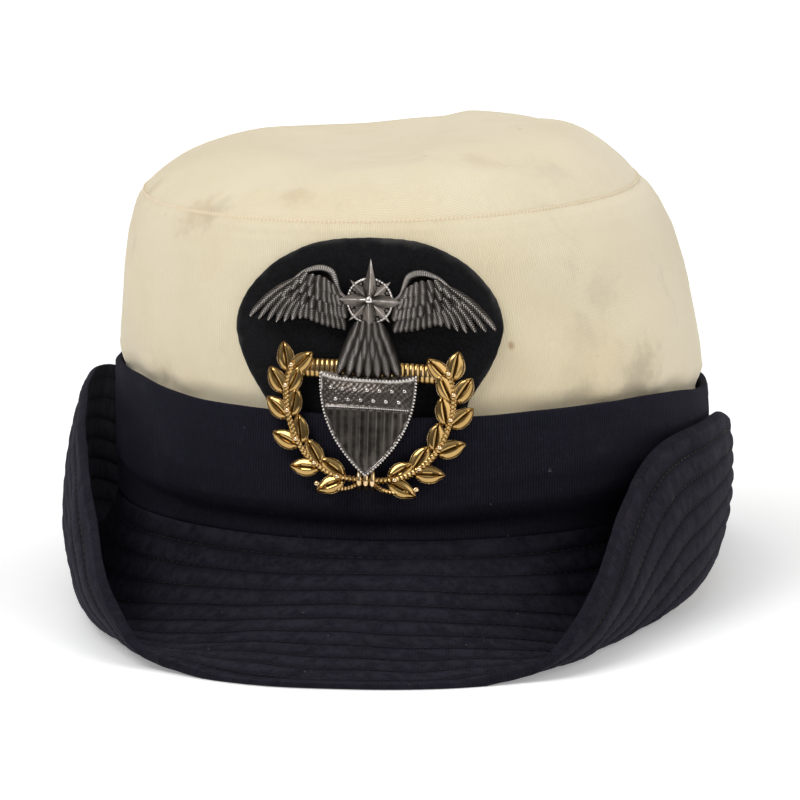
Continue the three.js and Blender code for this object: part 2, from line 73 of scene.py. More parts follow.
# angle, free edge x y z, middle of the roll out and height, its slope and pull
brimRows = np.array([
    [-155, -38, 138, 0.5, 23, 9.5, -14, 50],
    [-135, -68, 116, 14, 20, 8, 15, 46],
    [-120, -83, 88, 33, 16, 9, 50, 42],
    [-105, -90, 48, 49, 13.5, 14, 68, 42],
    [-90, -91, 10, 54.8, 12, 17, 72, 42],
    [-75, -87, -30, 54, 12, 12, 71, 42],
    [-60, -81, -66, 44.5, 15.5, 5.8, 64, 41],
    [-48, -74.2, -92.5, 31, 22, 4, 41, 45],
    [-38, -65.2, -121.5, 16, 29.4, 2.7, 19, 48],
    [-26, -51.8, -139.5, 5.2, 33.8, 2.7, -4, 55],
    [-13, -26.5, -155.4, 1.2, 32.5, 8, -18, 62],
    [0, 0, -159, 0.6, 32.5, 8.8, -22, 64],
    [13, 26.5, -155, 1.5, 34, 6.6, -20, 63],
    [26, 50, -140.8, 6.4, 33.6, 2.7, -3, 54],
    [38, 60.2, -120.4, 18.8, 23.6, 3.3, 22, 50.5],
    [48, 65.1, -93.6, 33.1, 15, 4.3, 42, 45.5],
    [60, 72.1, -67, 44, 9.4, 6.7, 60, 41.5],
    [75, 83.7, -30, 46.8, 5, 10, 70, 42],
    [90, 87.4, 8, 44.4, 3.8, 13, 73, 40],
    [105, 87.8, 45, 37.2, 6.8, 12, 62, 40],
    [120, 81, 86, 26, 15, 8, 42, 42],
    [135, 67, 115, 13, 20, 8, 10, 46],
    [155, 38, 138, 0.2, 23, 9.5, -14, 50],
    [180, 0, 146, -1.6, 23, 11, -20, 52],
])


# From one row of values to the next: a cubic in part with the slopes that the rows carry.
def cubic(values, slopes, row, part, span=1.0):
    rise = part * part * (3 - 2 * part)
    bend = slopes[row] * part * (1 - part) ** 2 - slopes[row + 1] * part ** 2 * (1 - part)
    return values[row] * (1 - rise) + values[row + 1] * rise + span * bend


# Reads every column of a table at the given angles, by a cubic through neighbouring rows whose
# slope at each row is that of the line between the rows on either side, closed after one turn.
def readRound(rows, angles):
    knots = np.concatenate([[rows[-1, 0] - 360], rows[:, 0], [rows[0, 0] + 360]])
    values = np.vstack([rows[-1:], rows, rows[:1]])[:, 1:]
    slopes = (values[2:] - values[:-2]) / (knots[2:] - knots[:-2])[:, None]
    slopes = np.vstack([slopes, slopes[:1]])
    knots, values = knots[1:], values[1:]
    turned = (angles - knots[0]) % 360 + knots[0]
    row = np.clip(np.searchsorted(knots, turned, side="right") - 1, 0, len(rows) - 1)
    span = (knots[row + 1] - knots[row])[:, None]
    return cubic(values, slopes, row, (turned - knots[row])[:, None] / span, span)


# 0 below low, 1 above high, with a smooth step between them.
def smoothStep(low, high, value):
    part = np.clip((value - low) / (high - low), 0, 1)
    return part * part * (3 - 2 * part)


# A bell curve: 1 at the centre and e^-1 one width away.
def bell(value, centre, width):
    return np.exp(-((value - centre) / width) ** 2)


# Points of a grid from their three coordinates, each of which may be the same all along it.
def pointsOf(x, y, z):
    return np.stack(np.broadcast_arrays(x, y, z), -1)


def unit(vectors):
    return vectors / np.maximum(np.linalg.norm(vectors, axis=-1, keepdims=True), 1e-9)


# Degrees from the front of the hat, from -180 to 180.
def fromFront(angles):
    return (angles + 180) % 360 - 180


# 1 in front, falling off like a bell beyond the badge.
def nearFront(angles):
    return bell(fromFront(angles), 0, head["frontSpread"])


# Angles at even steps round the hat, in degrees.
def anglesRound(count):
    return np.arange(count) * 360 / count


# Turns at even steps round a small circle, in radians.
def turnsRound(count):
    return np.arange(count) * 2 * np.pi / count


# Outward unit vector of the head oval at each angle: (sin t / width, -cos t / length), made 1 long.
def ovalNormal(angles):
    turn = np.radians(angles)
    return unit(pointsOf(np.sin(turn) / head["halfWidth"], -np.cos(turn) / head["halfLength"], 0.0))


# Head oval at each angle, moved out by out, at that height: (shift + width sin t, -length cos t, z).
def ovalPoint(angles, out, height):
    turn = np.radians(angles)
    x, y = head["shiftX"] + head["halfWidth"] * np.sin(turn), -head["halfLength"] * np.cos(turn)
    out, height = np.broadcast_arrays(np.asarray(out, float), np.asarray(height, float))
    if out.ndim < 2:
        out = np.broadcast_to(out, angles.shape)[:, None]
        height = np.broadcast_to(height, angles.shape)[:, None]
    points = pointsOf(x, y, 0.0)[:, None] + out[..., None] * ovalNormal(angles)[:, None]
    points[..., 2] = height
    return points


# Unit normals of a grid of points that closes round its first axis: the cross product of the
# differences along the two axes.
def gridNormals(points):
    around = np.roll(points, -1, 0) - np.roll(points, 1, 0)
    along = np.gradient(points, axis=1)
    return unit(np.cross(along, around))


# How far along a line of points each point is.
def lengthsAlong(line):
    return np.concatenate([[0], np.cumsum(np.linalg.norm(np.diff(line, axis=0), axis=1))])


# What the rows of values are at the lengths at, where they are known at lengths.
def valuesAt(at, lengths, values):
    return np.stack([np.interp(at, lengths, values[:, k]) for k in range(values.shape[1])], -1)


# Turns a grid of points into faces. i goes once round and closes on itself, and j runs along.
# ends "join" closes j on itself too, and "poles" closes each end with one middle point.
def skin(grid, ends="poles", cloth=None, marks=None, grain=None):
    around, along = grid.shape[:2]
    index = np.arange(around * along).reshape(around, along)
    nextRound = np.roll(index, -1, 0)
    points = grid.reshape(-1, 3)
    mark = np.zeros(len(points)) if marks is None else np.broadcast_to(marks, (around, along)).ravel()
    phase = np.zeros(len(points)) if grain is None else np.broadcast_to(grain, (around, along)).ravel()
    if cloth is None:
        cloth = np.zeros((around + 1, along + 1, 2))
    last = along if ends == "join" else along - 1
    quads = np.stack([index, nextRound, np.roll(nextRound, -1, 1), np.roll(index, -1, 1)], -1)[:, :last]
    corners = [cloth[:-1, :last], cloth[1:, :last], cloth[1:, 1:last + 1], cloth[:-1, 1:last + 1]]
    quadCloth = np.stack(corners, -2)
    shape = {"points": points, "quads": quads.reshape(-1, 4), "quadCloth": quadCloth.reshape(-1, 4, 2),
             "fans": np.zeros((0, 3), int), "fanCloth": np.zeros((0, 3, 2)), "mark": mark, "grain": phase}
    if ends == "poles":
        count = around * along
        shape["points"] = np.vstack([points, grid[:, 0].mean(0), grid[:, -1].mean(0)])
        for name, values in (("mark", mark), ("grain", phase)):
            shape[name] = np.append(values, values.reshape(around, along)[:, [0, -1]].mean(0))
        first = np.stack([nextRound[:, 0], index[:, 0], np.full(around, count)], -1)
        final = np.stack([index[:, -1], nextRound[:, -1], np.full(around, count + 1)], -1)
        shape["fans"] = np.vstack([first, final])
        low = np.stack([cloth[1:, 0], cloth[:-1, 0], cloth[:-1, 0]], -2)
        high = np.stack([cloth[:-1, last], cloth[1:, last], cloth[:-1, last]], -2)
        shape["fanCloth"] = np.vstack([low, high])
    return facedOut(shape)


# Turns the faces round if the volume that they enclose comes out negative.
def facedOut(shape):
    p = shape["points"]
    triangles = np.vstack([shape["quads"][:, [0, 1, 2]], shape["quads"][:, [0, 2, 3]], shape["fans"]])
    a, b, c = (p[triangles[:, k]] - p.mean(0) for k in range(3))
    if np.einsum("ij,ij->", a, np.cross(b, c)) < 0:
        for name in ("quads", "quadCloth", "fans", "fanCloth"):
            shape[name] = shape[name][:, ::-1]
    return shape


# One shape that holds several.
def together(shapes):
    offsets = np.cumsum([0] + [len(s["points"]) for s in shapes[:-1]])
    names = ("points", "quadCloth", "fanCloth", "mark", "grain")
    whole = {name: np.concatenate([s[name] for s in shapes]) for name in names}
    for name in ("quads", "fans"):
        whole[name] = np.concatenate([s[name] + offset for s, offset in zip(shapes, offsets)])
    return whole


# Many copies of a small shape: each has a place and three axes, and a point p goes to
# place + p.x axis1 + p.y axis2 + p.z axis3.
def copies(shape, places, axes):
    count = len(places)
    points = places[:, None] + np.einsum("pk,nkd->npd", shape["points"], axes)
    offset = (np.arange(count) * len(shape["points"]))[:, None, None]
    many = {"points": points.reshape(-1, 3)}
    many["quads"] = (shape["quads"][None] + offset).reshape(-1, 4)
    many["fans"] = (shape["fans"][None] + offset).reshape(-1, 3)
    for name in ("quadCloth", "fanCloth"):
        many[name] = np.tile(shape[name], (count, 1, 1))
    for name in ("mark", "grain"):
        many[name] = np.tile(shape[name], count)
    return many


# Makes the Blender object: millimetres from the head oval's centre become metres in the hat's frame.
def makePiece(name, shape, material, node=None, sharp=None):
    points = (shape["points"] + headCentre) * 0.001
    quads, fans = shape["quads"], shape["fans"]
    mesh = bpy.data.meshes.new(name)
    mesh.vertices.add(len(points))
    mesh.vertices.foreach_set("co", points.astype(np.float32).ravel())
    mesh.loops.add(quads.size + fans.size)
    mesh.loops.foreach_set("vertex_index", np.concatenate([quads.ravel(), fans.ravel()]).astype(np.int32))
    sizes = np.concatenate([np.full(len(quads), 4), np.full(len(fans), 3)])
    mesh.polygons.add(len(sizes))
    mesh.polygons.foreach_set("loop_start", (np.cumsum(sizes) - sizes).astype(np.int32))
    mesh.update(calc_edges=True)
    cloth = np.concatenate([shape["quadCloth"].ravel(), shape["fanCloth"].ravel()])
    mesh.uv_layers.new(name="cloth").data.foreach_set("uv", cloth.astype(np.float32))
    for label in ("mark", "grain"):
        stored = mesh.attributes.new(label, "FLOAT", "POINT")
        stored.data.foreach_set("value", shape[label].astype(np.float32))
    mesh.polygons.foreach_set("use_smooth", np.ones(len(sizes), bool))
    if sharp:
        mesh.set_sharp_from_angle(angle=np.radians(sharp))
    mesh.validate()
    mesh.materials.append(material)
    piece = bpy.data.objects.new(name, mesh)
    scene.collection.objects.link(piece)
    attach(piece, "root")
    if node:
        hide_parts(node)
    print(name, len(quads) * 2 + len(fans), "triangles")


# A wall of cloth behind a face that rises from part 0 to 1: the face, a rounded edge, the same
# face moved in by the thickness along its normals, and another rounded edge.
def clothWall(face, thick, roundness=0.5):
    inner = face + thick * gridNormals(face)
    turn = np.radians([40, 90, 140])[:, None]

    def edge(column, beside):
        middle = (face[:, column] + inner[:, column]) / 2
        out = (face[:, column] - inner[:, column]) / 2
        onward = unit(face[:, column] - face[:, beside]) * thick * roundness / 2
        return middle[:, None] + out[:, None] * np.cos(turn) + onward[:, None] * np.sin(turn)

    return np.concatenate([face, edge(-1, -2), inner[:, ::-1], edge(0, 1)[:, ::-1]], 1)


# Cloth coordinates in metres: round the hat by angle, and along the section by its mean length.
def clothSize(grid, radius):
    across = np.linspace(0, 2 * np.pi * radius, len(grid) + 1) * 0.001
    steps = np.linalg.norm(np.diff(grid, axis=1), axis=-1).mean(0)
    down = np.concatenate([[0], np.cumsum(steps), [steps.sum() + steps.mean()]]) * 0.001
    return np.stack(np.broadcast_arrays(across[:, None], down[None]), -1)


# A soft fold along a line from (x0, y0) to (x1, y1) in a plane: a bell across it, faded at its ends.
def foldAlong(x, y, rows):
    total = np.zeros(np.broadcast(x, y).shape)
    for x0, y0, x1, y1, width, height in rows:
        length = np.hypot(x1 - x0, y1 - y0)
        dx, dy = (x1 - x0) / length, (y1 - y0) / length
        along = (x - x0) * dx + (y - y0) * dy
        across = -(x - x0) * dy + (y - y0) * dx
        past = np.maximum(0, np.maximum(-along, along - length))
        total = total + height * np.exp(-(across / width) ** 2) * np.exp(-(past / (width * 1.5)) ** 2)
    return total


# crown: cloth, oval and heights of the top seam, shape of the top, how finely it is drawn, sewn seam
crown = {
    "thick": 1.6,
    "tipCentreX": -4.9,
    "tipHalfWidth": 69.7,
    "tipHalfLength": 88.0,
    "seamFront": 109.2,
    "seamSide": 0.9,
    "seamBack": 116.5,
    "tipRise": 14.4,
    "tipFullness": 5.2,
    "dentX": -22,
    "dentWidth": 27,
    "dentDepth": 4.7,
    "shoulderX": 51,
    "shoulderWidth": 17,
    "shoulderRise": 4.0,
    "stepRise": 1.4,
    "tipGap": 0.1,
    "bandTuck": 1.5,
    "around": 480,
    "sideRows": 58,
    "tipRows": 46,
    "pucker": 0.28,
    "blousePart": [0, 0.04, 0.12, 0.22, 0.35, 0.6, 0.78, 0.9, 0.96, 1],
    "blouseShare": [0, 0.08, 0.6, 0.78, 0.88, 1, 0.95, 0.68, 0.36, 0],
    "seamRoll": 0.15,
    "pipeRadius": 0.28,
    "pipeTall": 2.4,
    "pipeSunk": 0.15,
    "stitchPitch": 1.3,
}

# x, height at each end, width and depth of the soft folds on the front and the back of the side
frontFolds = [
    [58, 62, 66, 78, 5.0, 1.3],
    [70, 64, 75, 84, 4.0, 1.0],
    [44, 63, 50, 72, 4.5, 0.8],
    [-76, 66, -70, 82, 5.0, 0.7],
    [-62, 78, -52, 96, 9.0, -0.7],
    [30, 100, 62, 94, 7.0, 0.6],
    [40, 84, 66, 90, 9.0, -0.6],
]
backFolds = [
    [-40, 62, -30, 84, 7.0, 0.9],
    [10, 62, 16, 80, 6.0, 0.8],
    [48, 64, 40, 92, 8.0, 0.9],
    [-66, 66, -58, 96, 8.0, -0.8],
]
# x, y at each end, width and height of the folds on the top
tipFolds = [
    [-46, -74, -28, -72, 3.0, -0.8],
    [-34, -70, -22, -75, 2.4, 0.9],
    [-20, -66, 22, -62, 5.0, 0.6],
    [22, -58, 50, -40, 5.0, -0.9],
    [30, -66, 56, -48, 5.0, 0.7],
    [-54, -30, -24, -46, 9.0, 0.8],
    [-8, -46, 12, -52, 4.0, -0.5],
    [2, -30, 6, 40, 9.0, -0.9],
    [-40, 30, 10, 52, 10.0, 1.0],
    [24, 20, 46, 50, 9.0, -1.0],
]


# Top seam: an oval a little to the wearer's right, which rises by seamSide sin t towards the left
# and to seamBack behind.
def crownTopSeam(angles):
    turn = np.radians(angles)
    back = (1 - np.cos(turn)) / 2
    x = crown["tipCentreX"] + crown["tipHalfWidth"] * np.sin(turn)
    z = crown["seamFront"] + (crown["seamBack"] - crown["seamFront"]) * back
    z = z + crown["seamSide"] * np.sin(turn)
    return pointsOf(x, -crown["tipHalfLength"] * np.cos(turn), z)


# Side of the crown: part 0 where it leaves the band, 1 at the top seam. A straight line between
# the two, pushed out along the oval's normal by the blouse of the cloth.
# parts has one row for all angles, or one value for each angle where they come paired.
def crownSide(angles, parts, paired=False):
    parts = parts[:, None] if paired else np.broadcast_to(parts, (len(angles), len(parts)))
    top, _, blouse = readRound(wallRows, angles).T
    base = ovalPoint(angles, -head["crownInset"], top - crown["bandTuck"])[:, 0]
    line = base[:, None] + (crownTopSeam(angles) - base)[:, None] * parts[..., None]
    share = np.interp(parts, crown["blousePart"], crown["blouseShare"])
    held = 1 - nearFront(angles)[:, None] * np.maximum(0, 1 - 3 * parts)
    points = line + (blouse[:, None] * share * held)[..., None] * ovalNormal(angles)[:, None]
    return points[:, 0] if paired else points


# Folds, gathers above the band, puckers and a roll under the seam, and a slow unevenness, as a
# distance along the normal: bells and products of sines, quieter behind the badge.
def crownSideRelief(angles, parts, points):
    x, y, z = points[..., 0], points[..., 1], points[..., 2]
    folds = np.where(y < 0, foldAlong(x, z, frontFolds), foldAlong(x, z, backFolds))
    turn = np.radians(angles)[:, None]
    middle = np.sin(np.pi * parts)
    uneven = 0.5 * np.sin(5 * turn + 1.3) * middle + 0.35 * np.sin(11 * turn + 3 * parts) * middle ** 2
    comb = np.sin(95 * turn + 1.7 * np.sin(7 * turn)) * np.sin(23 * turn + 1)
    puckers = crown["pucker"] * comb * bell(parts, 0.95, 0.035)
    gathers = 0.5 * np.sin(31 * turn + 2 * np.sin(3 * turn)) * bell(parts, 0.06, 0.09)
    gathers = gathers * smoothStep(25, 45, np.abs(fromFront(angles)))[:, None]
    roll = crown["seamRoll"] * bell(parts, 0.955, 0.022)
    quiet = 1 - 0.8 * nearFront(angles)[:, None] * smoothStep(0.9, 0.7, parts)[None]
    free = smoothStep(0, 0.06, parts) * smoothStep(1, 0.9, parts)
    return (folds + uneven + gathers) * quiet * free + puckers + roll


# The side: its face, carried down inside the band as a plain oval, with a wall of cloth behind it.
def makeCrownSide(material):
    angles = anglesRound(crown["around"])
    parts = np.concatenate([np.linspace(0, 0.86, crown["sideRows"] - 22), np.linspace(0.87, 1, 22)])
    face = crownSide(angles, parts)
    face = face + crownSideRelief(angles, parts, face)[..., None] * ovalNormal(angles)[:, None]
    top = readRound(wallRows, angles)[:, 0] - crown["bandTuck"]
    low = head["seamHeight"] + head["gap"]
    heights = low + (top - low)[:, None] * np.linspace(0, 0.97, 10)[None]
    hidden = ovalPoint(angles, np.full_like(heights, -head["crownInset"]), heights)
    section = clothWall(np.concatenate([hidden, face], 1), crown["thick"], 0.3)
    wall = skin(section, "join", clothSize(section, 88), 0.0)
    makePiece("crownSide", together([wall, topPipe()]), material, "crown_side")


# The sewn seam along the top of the side: a thin bar, taller than it is wide, half sunk between
# side and top. Its radius swells by radius (1 + 0.18 sin(count t) + ...), once for each stitch, and
# its grain counts the stitches.
def topPipe():
    angles = anglesRound(seamPoints)
    line = crownTopSeam(angles) - [0, 0, crown["pipeSunk"]]
    lengths = lengthsAlong(line)
    count = round(lengths[-1] / crown["stitchPitch"])
    turn = np.radians(angles)
    waver = 0.18 * np.sin(count * turn) + 0.12 * np.sin(37 * turn + 2 * np.sin(5 * turn))
    radius = crown["pipeRadius"] * (1 + waver)[:, None, None]
    around = turnsRound(8)[None, :, None]
    up = np.array([0, 0, crown["pipeTall"]])
    grid = line[:, None] + radius * (np.cos(around) * ovalNormal(angles)[:, None] + np.sin(around) * up)
    return skin(grid, "join", None, 1.0, (turn * count / (2 * np.pi))[:, None])


# Top of the crown: part 0 in the middle, 1 at the seam. An oval raised by
# tipRise (1 - part^tipFullness), with a broad dent on the wearer's right, a step up from it in the
# middle and a raised shoulder on the left.
def crownTip(angles, parts):
    seam = crownTopSeam(angles)
    middle = np.array([crown["tipCentreX"], 0, (crown["seamFront"] + crown["seamBack"]) / 2])
    points = middle + (seam - middle)[:, None] * parts[None, :, None]
    x, y = points[..., 0], points[..., 1]
    dome = crown["tipRise"] * (1 - parts ** crown["tipFullness"])
    dent = crown["dentDepth"] * bell(x, crown["dentX"], crown["dentWidth"]) * (1 - parts ** 2)
    step = crown["stepRise"] * smoothStep(4, 13, x) * smoothStep(62, 30, x)
    shoulder = crown["shoulderRise"] * bell(x, crown["shoulderX"], crown["shoulderWidth"])
    folds = foldAlong(x, y, tipFolds) * smoothStep(1, 0.86, parts)
    turn = np.radians(angles)[:, None]
    comb = np.sin(80 * turn + 2 * np.sin(5 * turn)) * np.sin(19 * turn + 2)
    puckers = 0.22 * comb * bell(parts, 0.955, 0.03)
    slow = 0.5 * np.sin(x * 0.07 + 1.2) * np.sin(y * 0.06 + 0.4) * smoothStep(1, 0.8, parts)
    raised = (step + shoulder) * (1 - parts ** 4)
    points[..., 2] += dome - dent + raised + folds + puckers + slow + crown["tipGap"]
    return points


# The top: its face, and another below it by the cloth's thickness, each closed in its middle.
def makeCrownTip(material):
    angles = anglesRound(crown["around"])
    parts = np.concatenate([np.linspace(0.02, 0.84, crown["tipRows"] - 24), np.linspace(0.85, 1, 24)])
    face = crownTip(angles, parts)
    lower = face - [0, 0, crown["thick"]]
    lower[:, -1] = face[:, -1] - ovalNormal(angles) * crown["thick"] * 0.8 - [0, 0, crown["thick"] * 0.5]
    section = np.concatenate([face, lower[:, ::-1]], 1)
    flat = np.concatenate([section, section[:1]], 0)[:, :, [1, 0]]
    cloth = np.concatenate([flat, flat[:, -1:]], 1) * 0.001
    makePiece("crownTip", skin(section, "poles", cloth), material, "crown_tip")


# band: cloth, how far the badge backing lifts it, how finely it is drawn, crease and hem
band = {
    "thick": 2.0,
    "backingRelief": 1.5,
    "around": 480,
    "crease": 1.2,
    "creaseHeight": 4.2,
    "creaseWidth": 1.7,
    "bulgeUp": 5.2,
    "bulgeWidth": 3.6,
    "rim": 0.12,
    "swellPart": [0, 0.12, 0.2, 0.3, 0.5, 0.75, 1],
    "swellShare": [0, 0.14, 0.45, 0.8, 1, 0.9, 0.62],
    "shadowWidth": 2.4,
}

# angle, height at each end, width and depth of the soft folds in the band
bandFolds = [
    [-40, 44, -18, 41, 3.0, 0.5],
    [16, 42, 44, 47, 3.2, 0.5],
    [50, 50, 66, 44, 3.5, -0.6],
    [-72, 46, -56, 52, 4.0, -0.5],
    [100, 40, 120, 48, 5.0, 0.7],
    [-130, 44, -108, 40, 5.0, 0.6],
    [150, 46, 172, 40, 4.0, -0.5],
]


# Face of the band: part 0 at the brim and 1 at the top edge. The oval, moved out by the band's
# swell, with a crease pressed in just above the brim and a seam behind.
def bandFace(angles, parts):
    top, swell, _ = readRound(wallRows, angles).T
    top, swell, turned = top[:, None], swell[:, None], fromFront(angles)[:, None]
    low = head["seamHeight"] + head["gap"]
    heights = low + (top - low) * parts[None]
    shape = np.interp(parts, band["swellPart"], band["swellShare"])
    relief = band["backingRelief"] * nearFront(angles)[:, None] * smoothStep(0.3, 0.8, parts)[None]
    up = heights - low
    front = 0.35 + 0.65 * bell(turned, -5, 55)
    creaseUp = band["creaseHeight"] + 3.0 * (turned / 60) ** 2
    bulge = smoothStep(-75, -20, turned) * smoothStep(75, 30, turned)
    above = 1.1 * bell(up, creaseUp + band["bulgeUp"], band["bulgeWidth"]) * bulge
    crease = band["crease"] * front * (above - bell(up, creaseUp, band["creaseWidth"]))
    foot = 0.25 * bell(up, 0.8, 1.0)
    fold = foldAlong(turned, heights, bandFolds)
    turn = np.radians(angles)[:, None]
    uneven = 0.25 * np.sin(9 * turn + 1) * np.sin(np.pi * parts)
    uneven = uneven + 0.12 * np.sin(27 * turn + heights * 0.3) * parts
    backSeam = 0.3 * bell(np.abs(turned), 176.5, 2.2) - 0.9 * bell(np.abs(turned), 180, 0.55)
    rim = band["rim"] * smoothStep(top - 3.4, top - 2.6, heights)
    backSeam = backSeam * smoothStep(0, 0.1, parts)
    out = swell * shape + relief + crease + foot + fold + uneven + backSeam + rim
    return ovalPoint(angles, out, heights)


# The band: a wall of cloth behind its face. Its mark, the shadow in the crease, is a bell over the
# height times a bell round the front.
def makeBand(material):
    angles = anglesRound(band["around"])
    parts = np.concatenate([np.linspace(0, 0.34, 26), np.linspace(0.37, 0.88, 22), np.linspace(0.9, 1, 10)])
    section = clothWall(bandFace(angles, parts), band["thick"], 0.6)
    creaseZ = head["seamHeight"] + band["creaseHeight"] + 0.6
    shadow = bell(section[..., 2], creaseZ, band["shadowWidth"]) * bell(fromFront(angles), 5, 48)[:, None]
    shape = skin(section, "join", clothSize(section, 93), shadow)
    makePiece("hatBand", shape, material, "hat_band")


# brim: all its layers, how finely it is drawn, shares of its width where the stitch rows lie, thread
brim = {
    "thick": 2.6,
    "around": 400,
    "rows": 10,
    "firstRow": 0.095,
    "lastRow": 0.935,
    "groove": 0.62,
    "stitchPitch": 2.6,
    "stitchLength": 2.2,
    "stitchRadius": 0.17,
    "stitchLift": 0.1,
    "stitchStep": 0.8,
    "stitchStray": 0.06,
    "ledge": (3.9, 3.0, 1.5),
    "besideRow": [-0.034, -0.022, -0.012, -0.004, 0, 0.004, 0.012, 0.022, 0.034],
}


# Upper face of the brim: part 0 at the seam, 1 at the free edge. At each angle a cubic Bezier
# runs from the seam through the middle of the roll to the edge, and is read at even shares of
# its own length, so that the stitch rows lie side by side.
def brimCurve(angles, parts):
    edgeX, edgeY, edgeZ, bellyOut, bellyZ, slope, pull = readRound(brimRows, angles).T
    seam = ovalPoint(angles, 0, head["seamHeight"])[:, 0]
    normal = ovalNormal(angles)
    edge = np.stack([edgeX, edgeY, edgeZ], -1)
    reach = (edge - seam) * [1, 1, 0]
    drift = reach - np.sum(reach * normal, -1, keepdims=True) * normal
    belly = seam + normal * bellyOut[:, None] + 0.45 * drift
    belly[:, 2] = bellyZ
    slope = np.radians(slope)[:, None]
    through = (normal * np.cos(slope) + np.array([0, 0, 1]) * np.sin(slope)) * pull[:, None] + drift
    total = (8 * belly - seam - edge) / 3
    spread = through * 4 / 3 - edge + seam
    nearSeam, nearEdge = (total - spread) / 2, (total + spread) / 2

    def curve(t):
        return ((1 - t) ** 3 * seam[:, None] + 3 * (1 - t) ** 2 * t * nearSeam[:, None]
                + 3 * (1 - t) * t ** 2 * nearEdge[:, None] + t ** 3 * edge[:, None])

    fine = np.linspace(0, 1, 81)
    steps = np.linalg.norm(np.diff(curve(fine[None, :, None]), axis=1), axis=-1)
    lengths = np.concatenate([np.zeros((len(angles), 1)), np.cumsum(steps, 1)], 1)
    shares = lengths / lengths[:, -1:]
    row = np.clip((shares[:, :, None] <= parts).sum(1) - 1, 0, 79)
    low, high = np.take_along_axis(shares, row, 1), np.take_along_axis(shares, row + 1, 1)
    t = fine[row] + (parts - low) / (high - low) / 80
    return curve(t[..., None])


# Shares of the brim's width where the stitch rows lie.
def stitchParts():
    return np.linspace(brim["firstRow"], brim["lastRow"], brim["rows"])


# How many stitch rows lie between the first one and this part of the width.
def rowsAcross(parts):
    return (parts - brim["firstRow"]) / (brim["lastRow"] - brim["firstRow"]) * (brim["rows"] - 1)


# Quilting: -groove along each stitch row, rising to 0 between rows by |sin|^0.6, and fading out
# past the first and the last row.
def quilting(parts):
    puff = np.abs(np.sin(np.pi * rowsAcross(parts))) ** 0.6
    past = np.maximum(0, np.maximum(brim["firstRow"] - parts, parts - brim["lastRow"])) / 0.03
    puff = np.where(past > 0, 1 - np.exp(-past ** 1.2), puff)
    return brim["groove"] * (puff - 1)


# Upper and lower faces of the brim at the parts returned, closer together beside the stitch rows.
# Both carry the quilting, slow waves and, between rows, short rucks: products of two sines.
def brimFaces(angles):
    beside = (stitchParts()[:, None] + brim["besideRow"]).ravel()
    parts = np.unique(np.clip(np.round(np.concatenate([[0, 0.03, 0.97, 1], beside]), 4), 0, 1))
    upper = brimCurve(angles, parts)
    normal = gridNormals(upper)
    normal[:, 0] = unit(normal[:, 0] + [0, 0, 1])
    turn, across = np.radians(angles)[:, None], rowsAcross(parts)
    row = np.floor(across)
    uneven = 0.22 * np.sin(13 * turn + 5 * parts) * np.sin(np.pi * parts)
    uneven = uneven + 0.18 * np.sin(29 * turn - 7 * parts) * parts
    rucks = np.sin(97 * turn + 1.9 * row + 1.5 * np.sin(11 * turn)) * np.sin(31 * turn + 2.3 * row)
    uneven = (uneven + 0.14 * rucks * np.abs(np.sin(np.pi * across))) * smoothStep(0, 0.15, parts)
    puff = quilting(parts)[None]
    lower = upper + (uneven - brim["thick"] - puff)[..., None] * normal
    upper = upper + (uneven + puff)[..., None] * normal
    lower[..., 2] = np.maximum(lower[..., 2], 0)
    upper[..., 2] = np.maximum(upper[..., 2], lower[..., 2] + 0.6 * brim["thick"])
    return parts, upper, lower


# The brim: both faces, a rounded free edge, and a flat ledge that runs in under the band and crown.
def makeBrim(material):
    angles = anglesRound(brim["around"])
    parts, upper, lower = brimFaces(angles)
    ledge = [ovalPoint(angles, -inset, head["seamHeight"]) for inset in brim["ledge"]]
    under = [points - [0, 0, brim["thick"]] for points in ledge]
    middle = (upper[:, -1] + lower[:, -1]) / 2
    out = (upper[:, -1] - lower[:, -1]) / 2
    onward = unit(upper[:, -1] - upper[:, -3]) * brim["thick"] * 0.32
    turn = np.radians([25, 60, 90, 120, 155])[:, None]
    edge = middle[:, None] + out[:, None] * np.cos(turn) + onward[:, None] * np.sin(turn)
    edge[..., 2] = np.maximum(edge[..., 2], 0)
    section = np.concatenate(ledge + [upper, edge, lower[:, ::-1]] + under[::-1], 1)
    # The mark is how high a place stands between the stitch rows, 0 in a groove and 1 on a ridge. From it the
    # cloth paints shade in the grooves and light on the ridges, and the ledge under the band, at 0, gets
    # painted shade.
    puff = 1 + quilting(parts) / brim["groove"]
    marks = np.concatenate([np.zeros(3), puff, np.ones(5) * 0.6, puff[::-1], np.zeros(3)])
    shape = skin(section, "join", clothSize(section, 110), marks)
    makePiece("quiltedBrim", shape, material, "brim")


# One stitch: a little bar along x of a few faces, thinner and lower at its ends.
def stitchShape(length, radius):
    along = np.array([-0.5, -0.3, 0, 0.3, 0.5]) * length
    girth = np.array([0.45, 0.9, 1, 0.9, 0.45]) * radius
    drop = np.array([-1.1, -0.35, 0, -0.35, -1.1]) * radius
    turn = turnsRound(4)[:, None]
    return skin(pointsOf(along, girth * np.cos(turn), girth * np.sin(turn) + drop))


# Puts stitches at an even pitch along a closed line of points with normals, each a little astray.
def stitchesAlong(line, normal, stitch):
    closed = np.vstack([line, line[:1]])
    normals = np.vstack([normal, normal[:1]])
    lengths = lengthsAlong(closed)
    count = int(lengths[-1] / brim["stitchPitch"])
    stray = rng.uniform(-brim["stitchStray"], brim["stitchStray"], count)
    at = (np.arange(count) + stray) * lengths[-1] / count
    place = valuesAt(at, lengths, closed)
    ahead = valuesAt((at + brim["stitchStep"]) % lengths[-1], lengths, closed)
    out = unit(valuesAt(at, lengths, normals))
    forward = unit(ahead - place)
    sideways = unit(np.cross(out, forward))
    out = np.cross(forward, sideways)
    return copies(stitch, place + brim["stitchLift"] * out, np.stack([forward, sideways, out], 1))


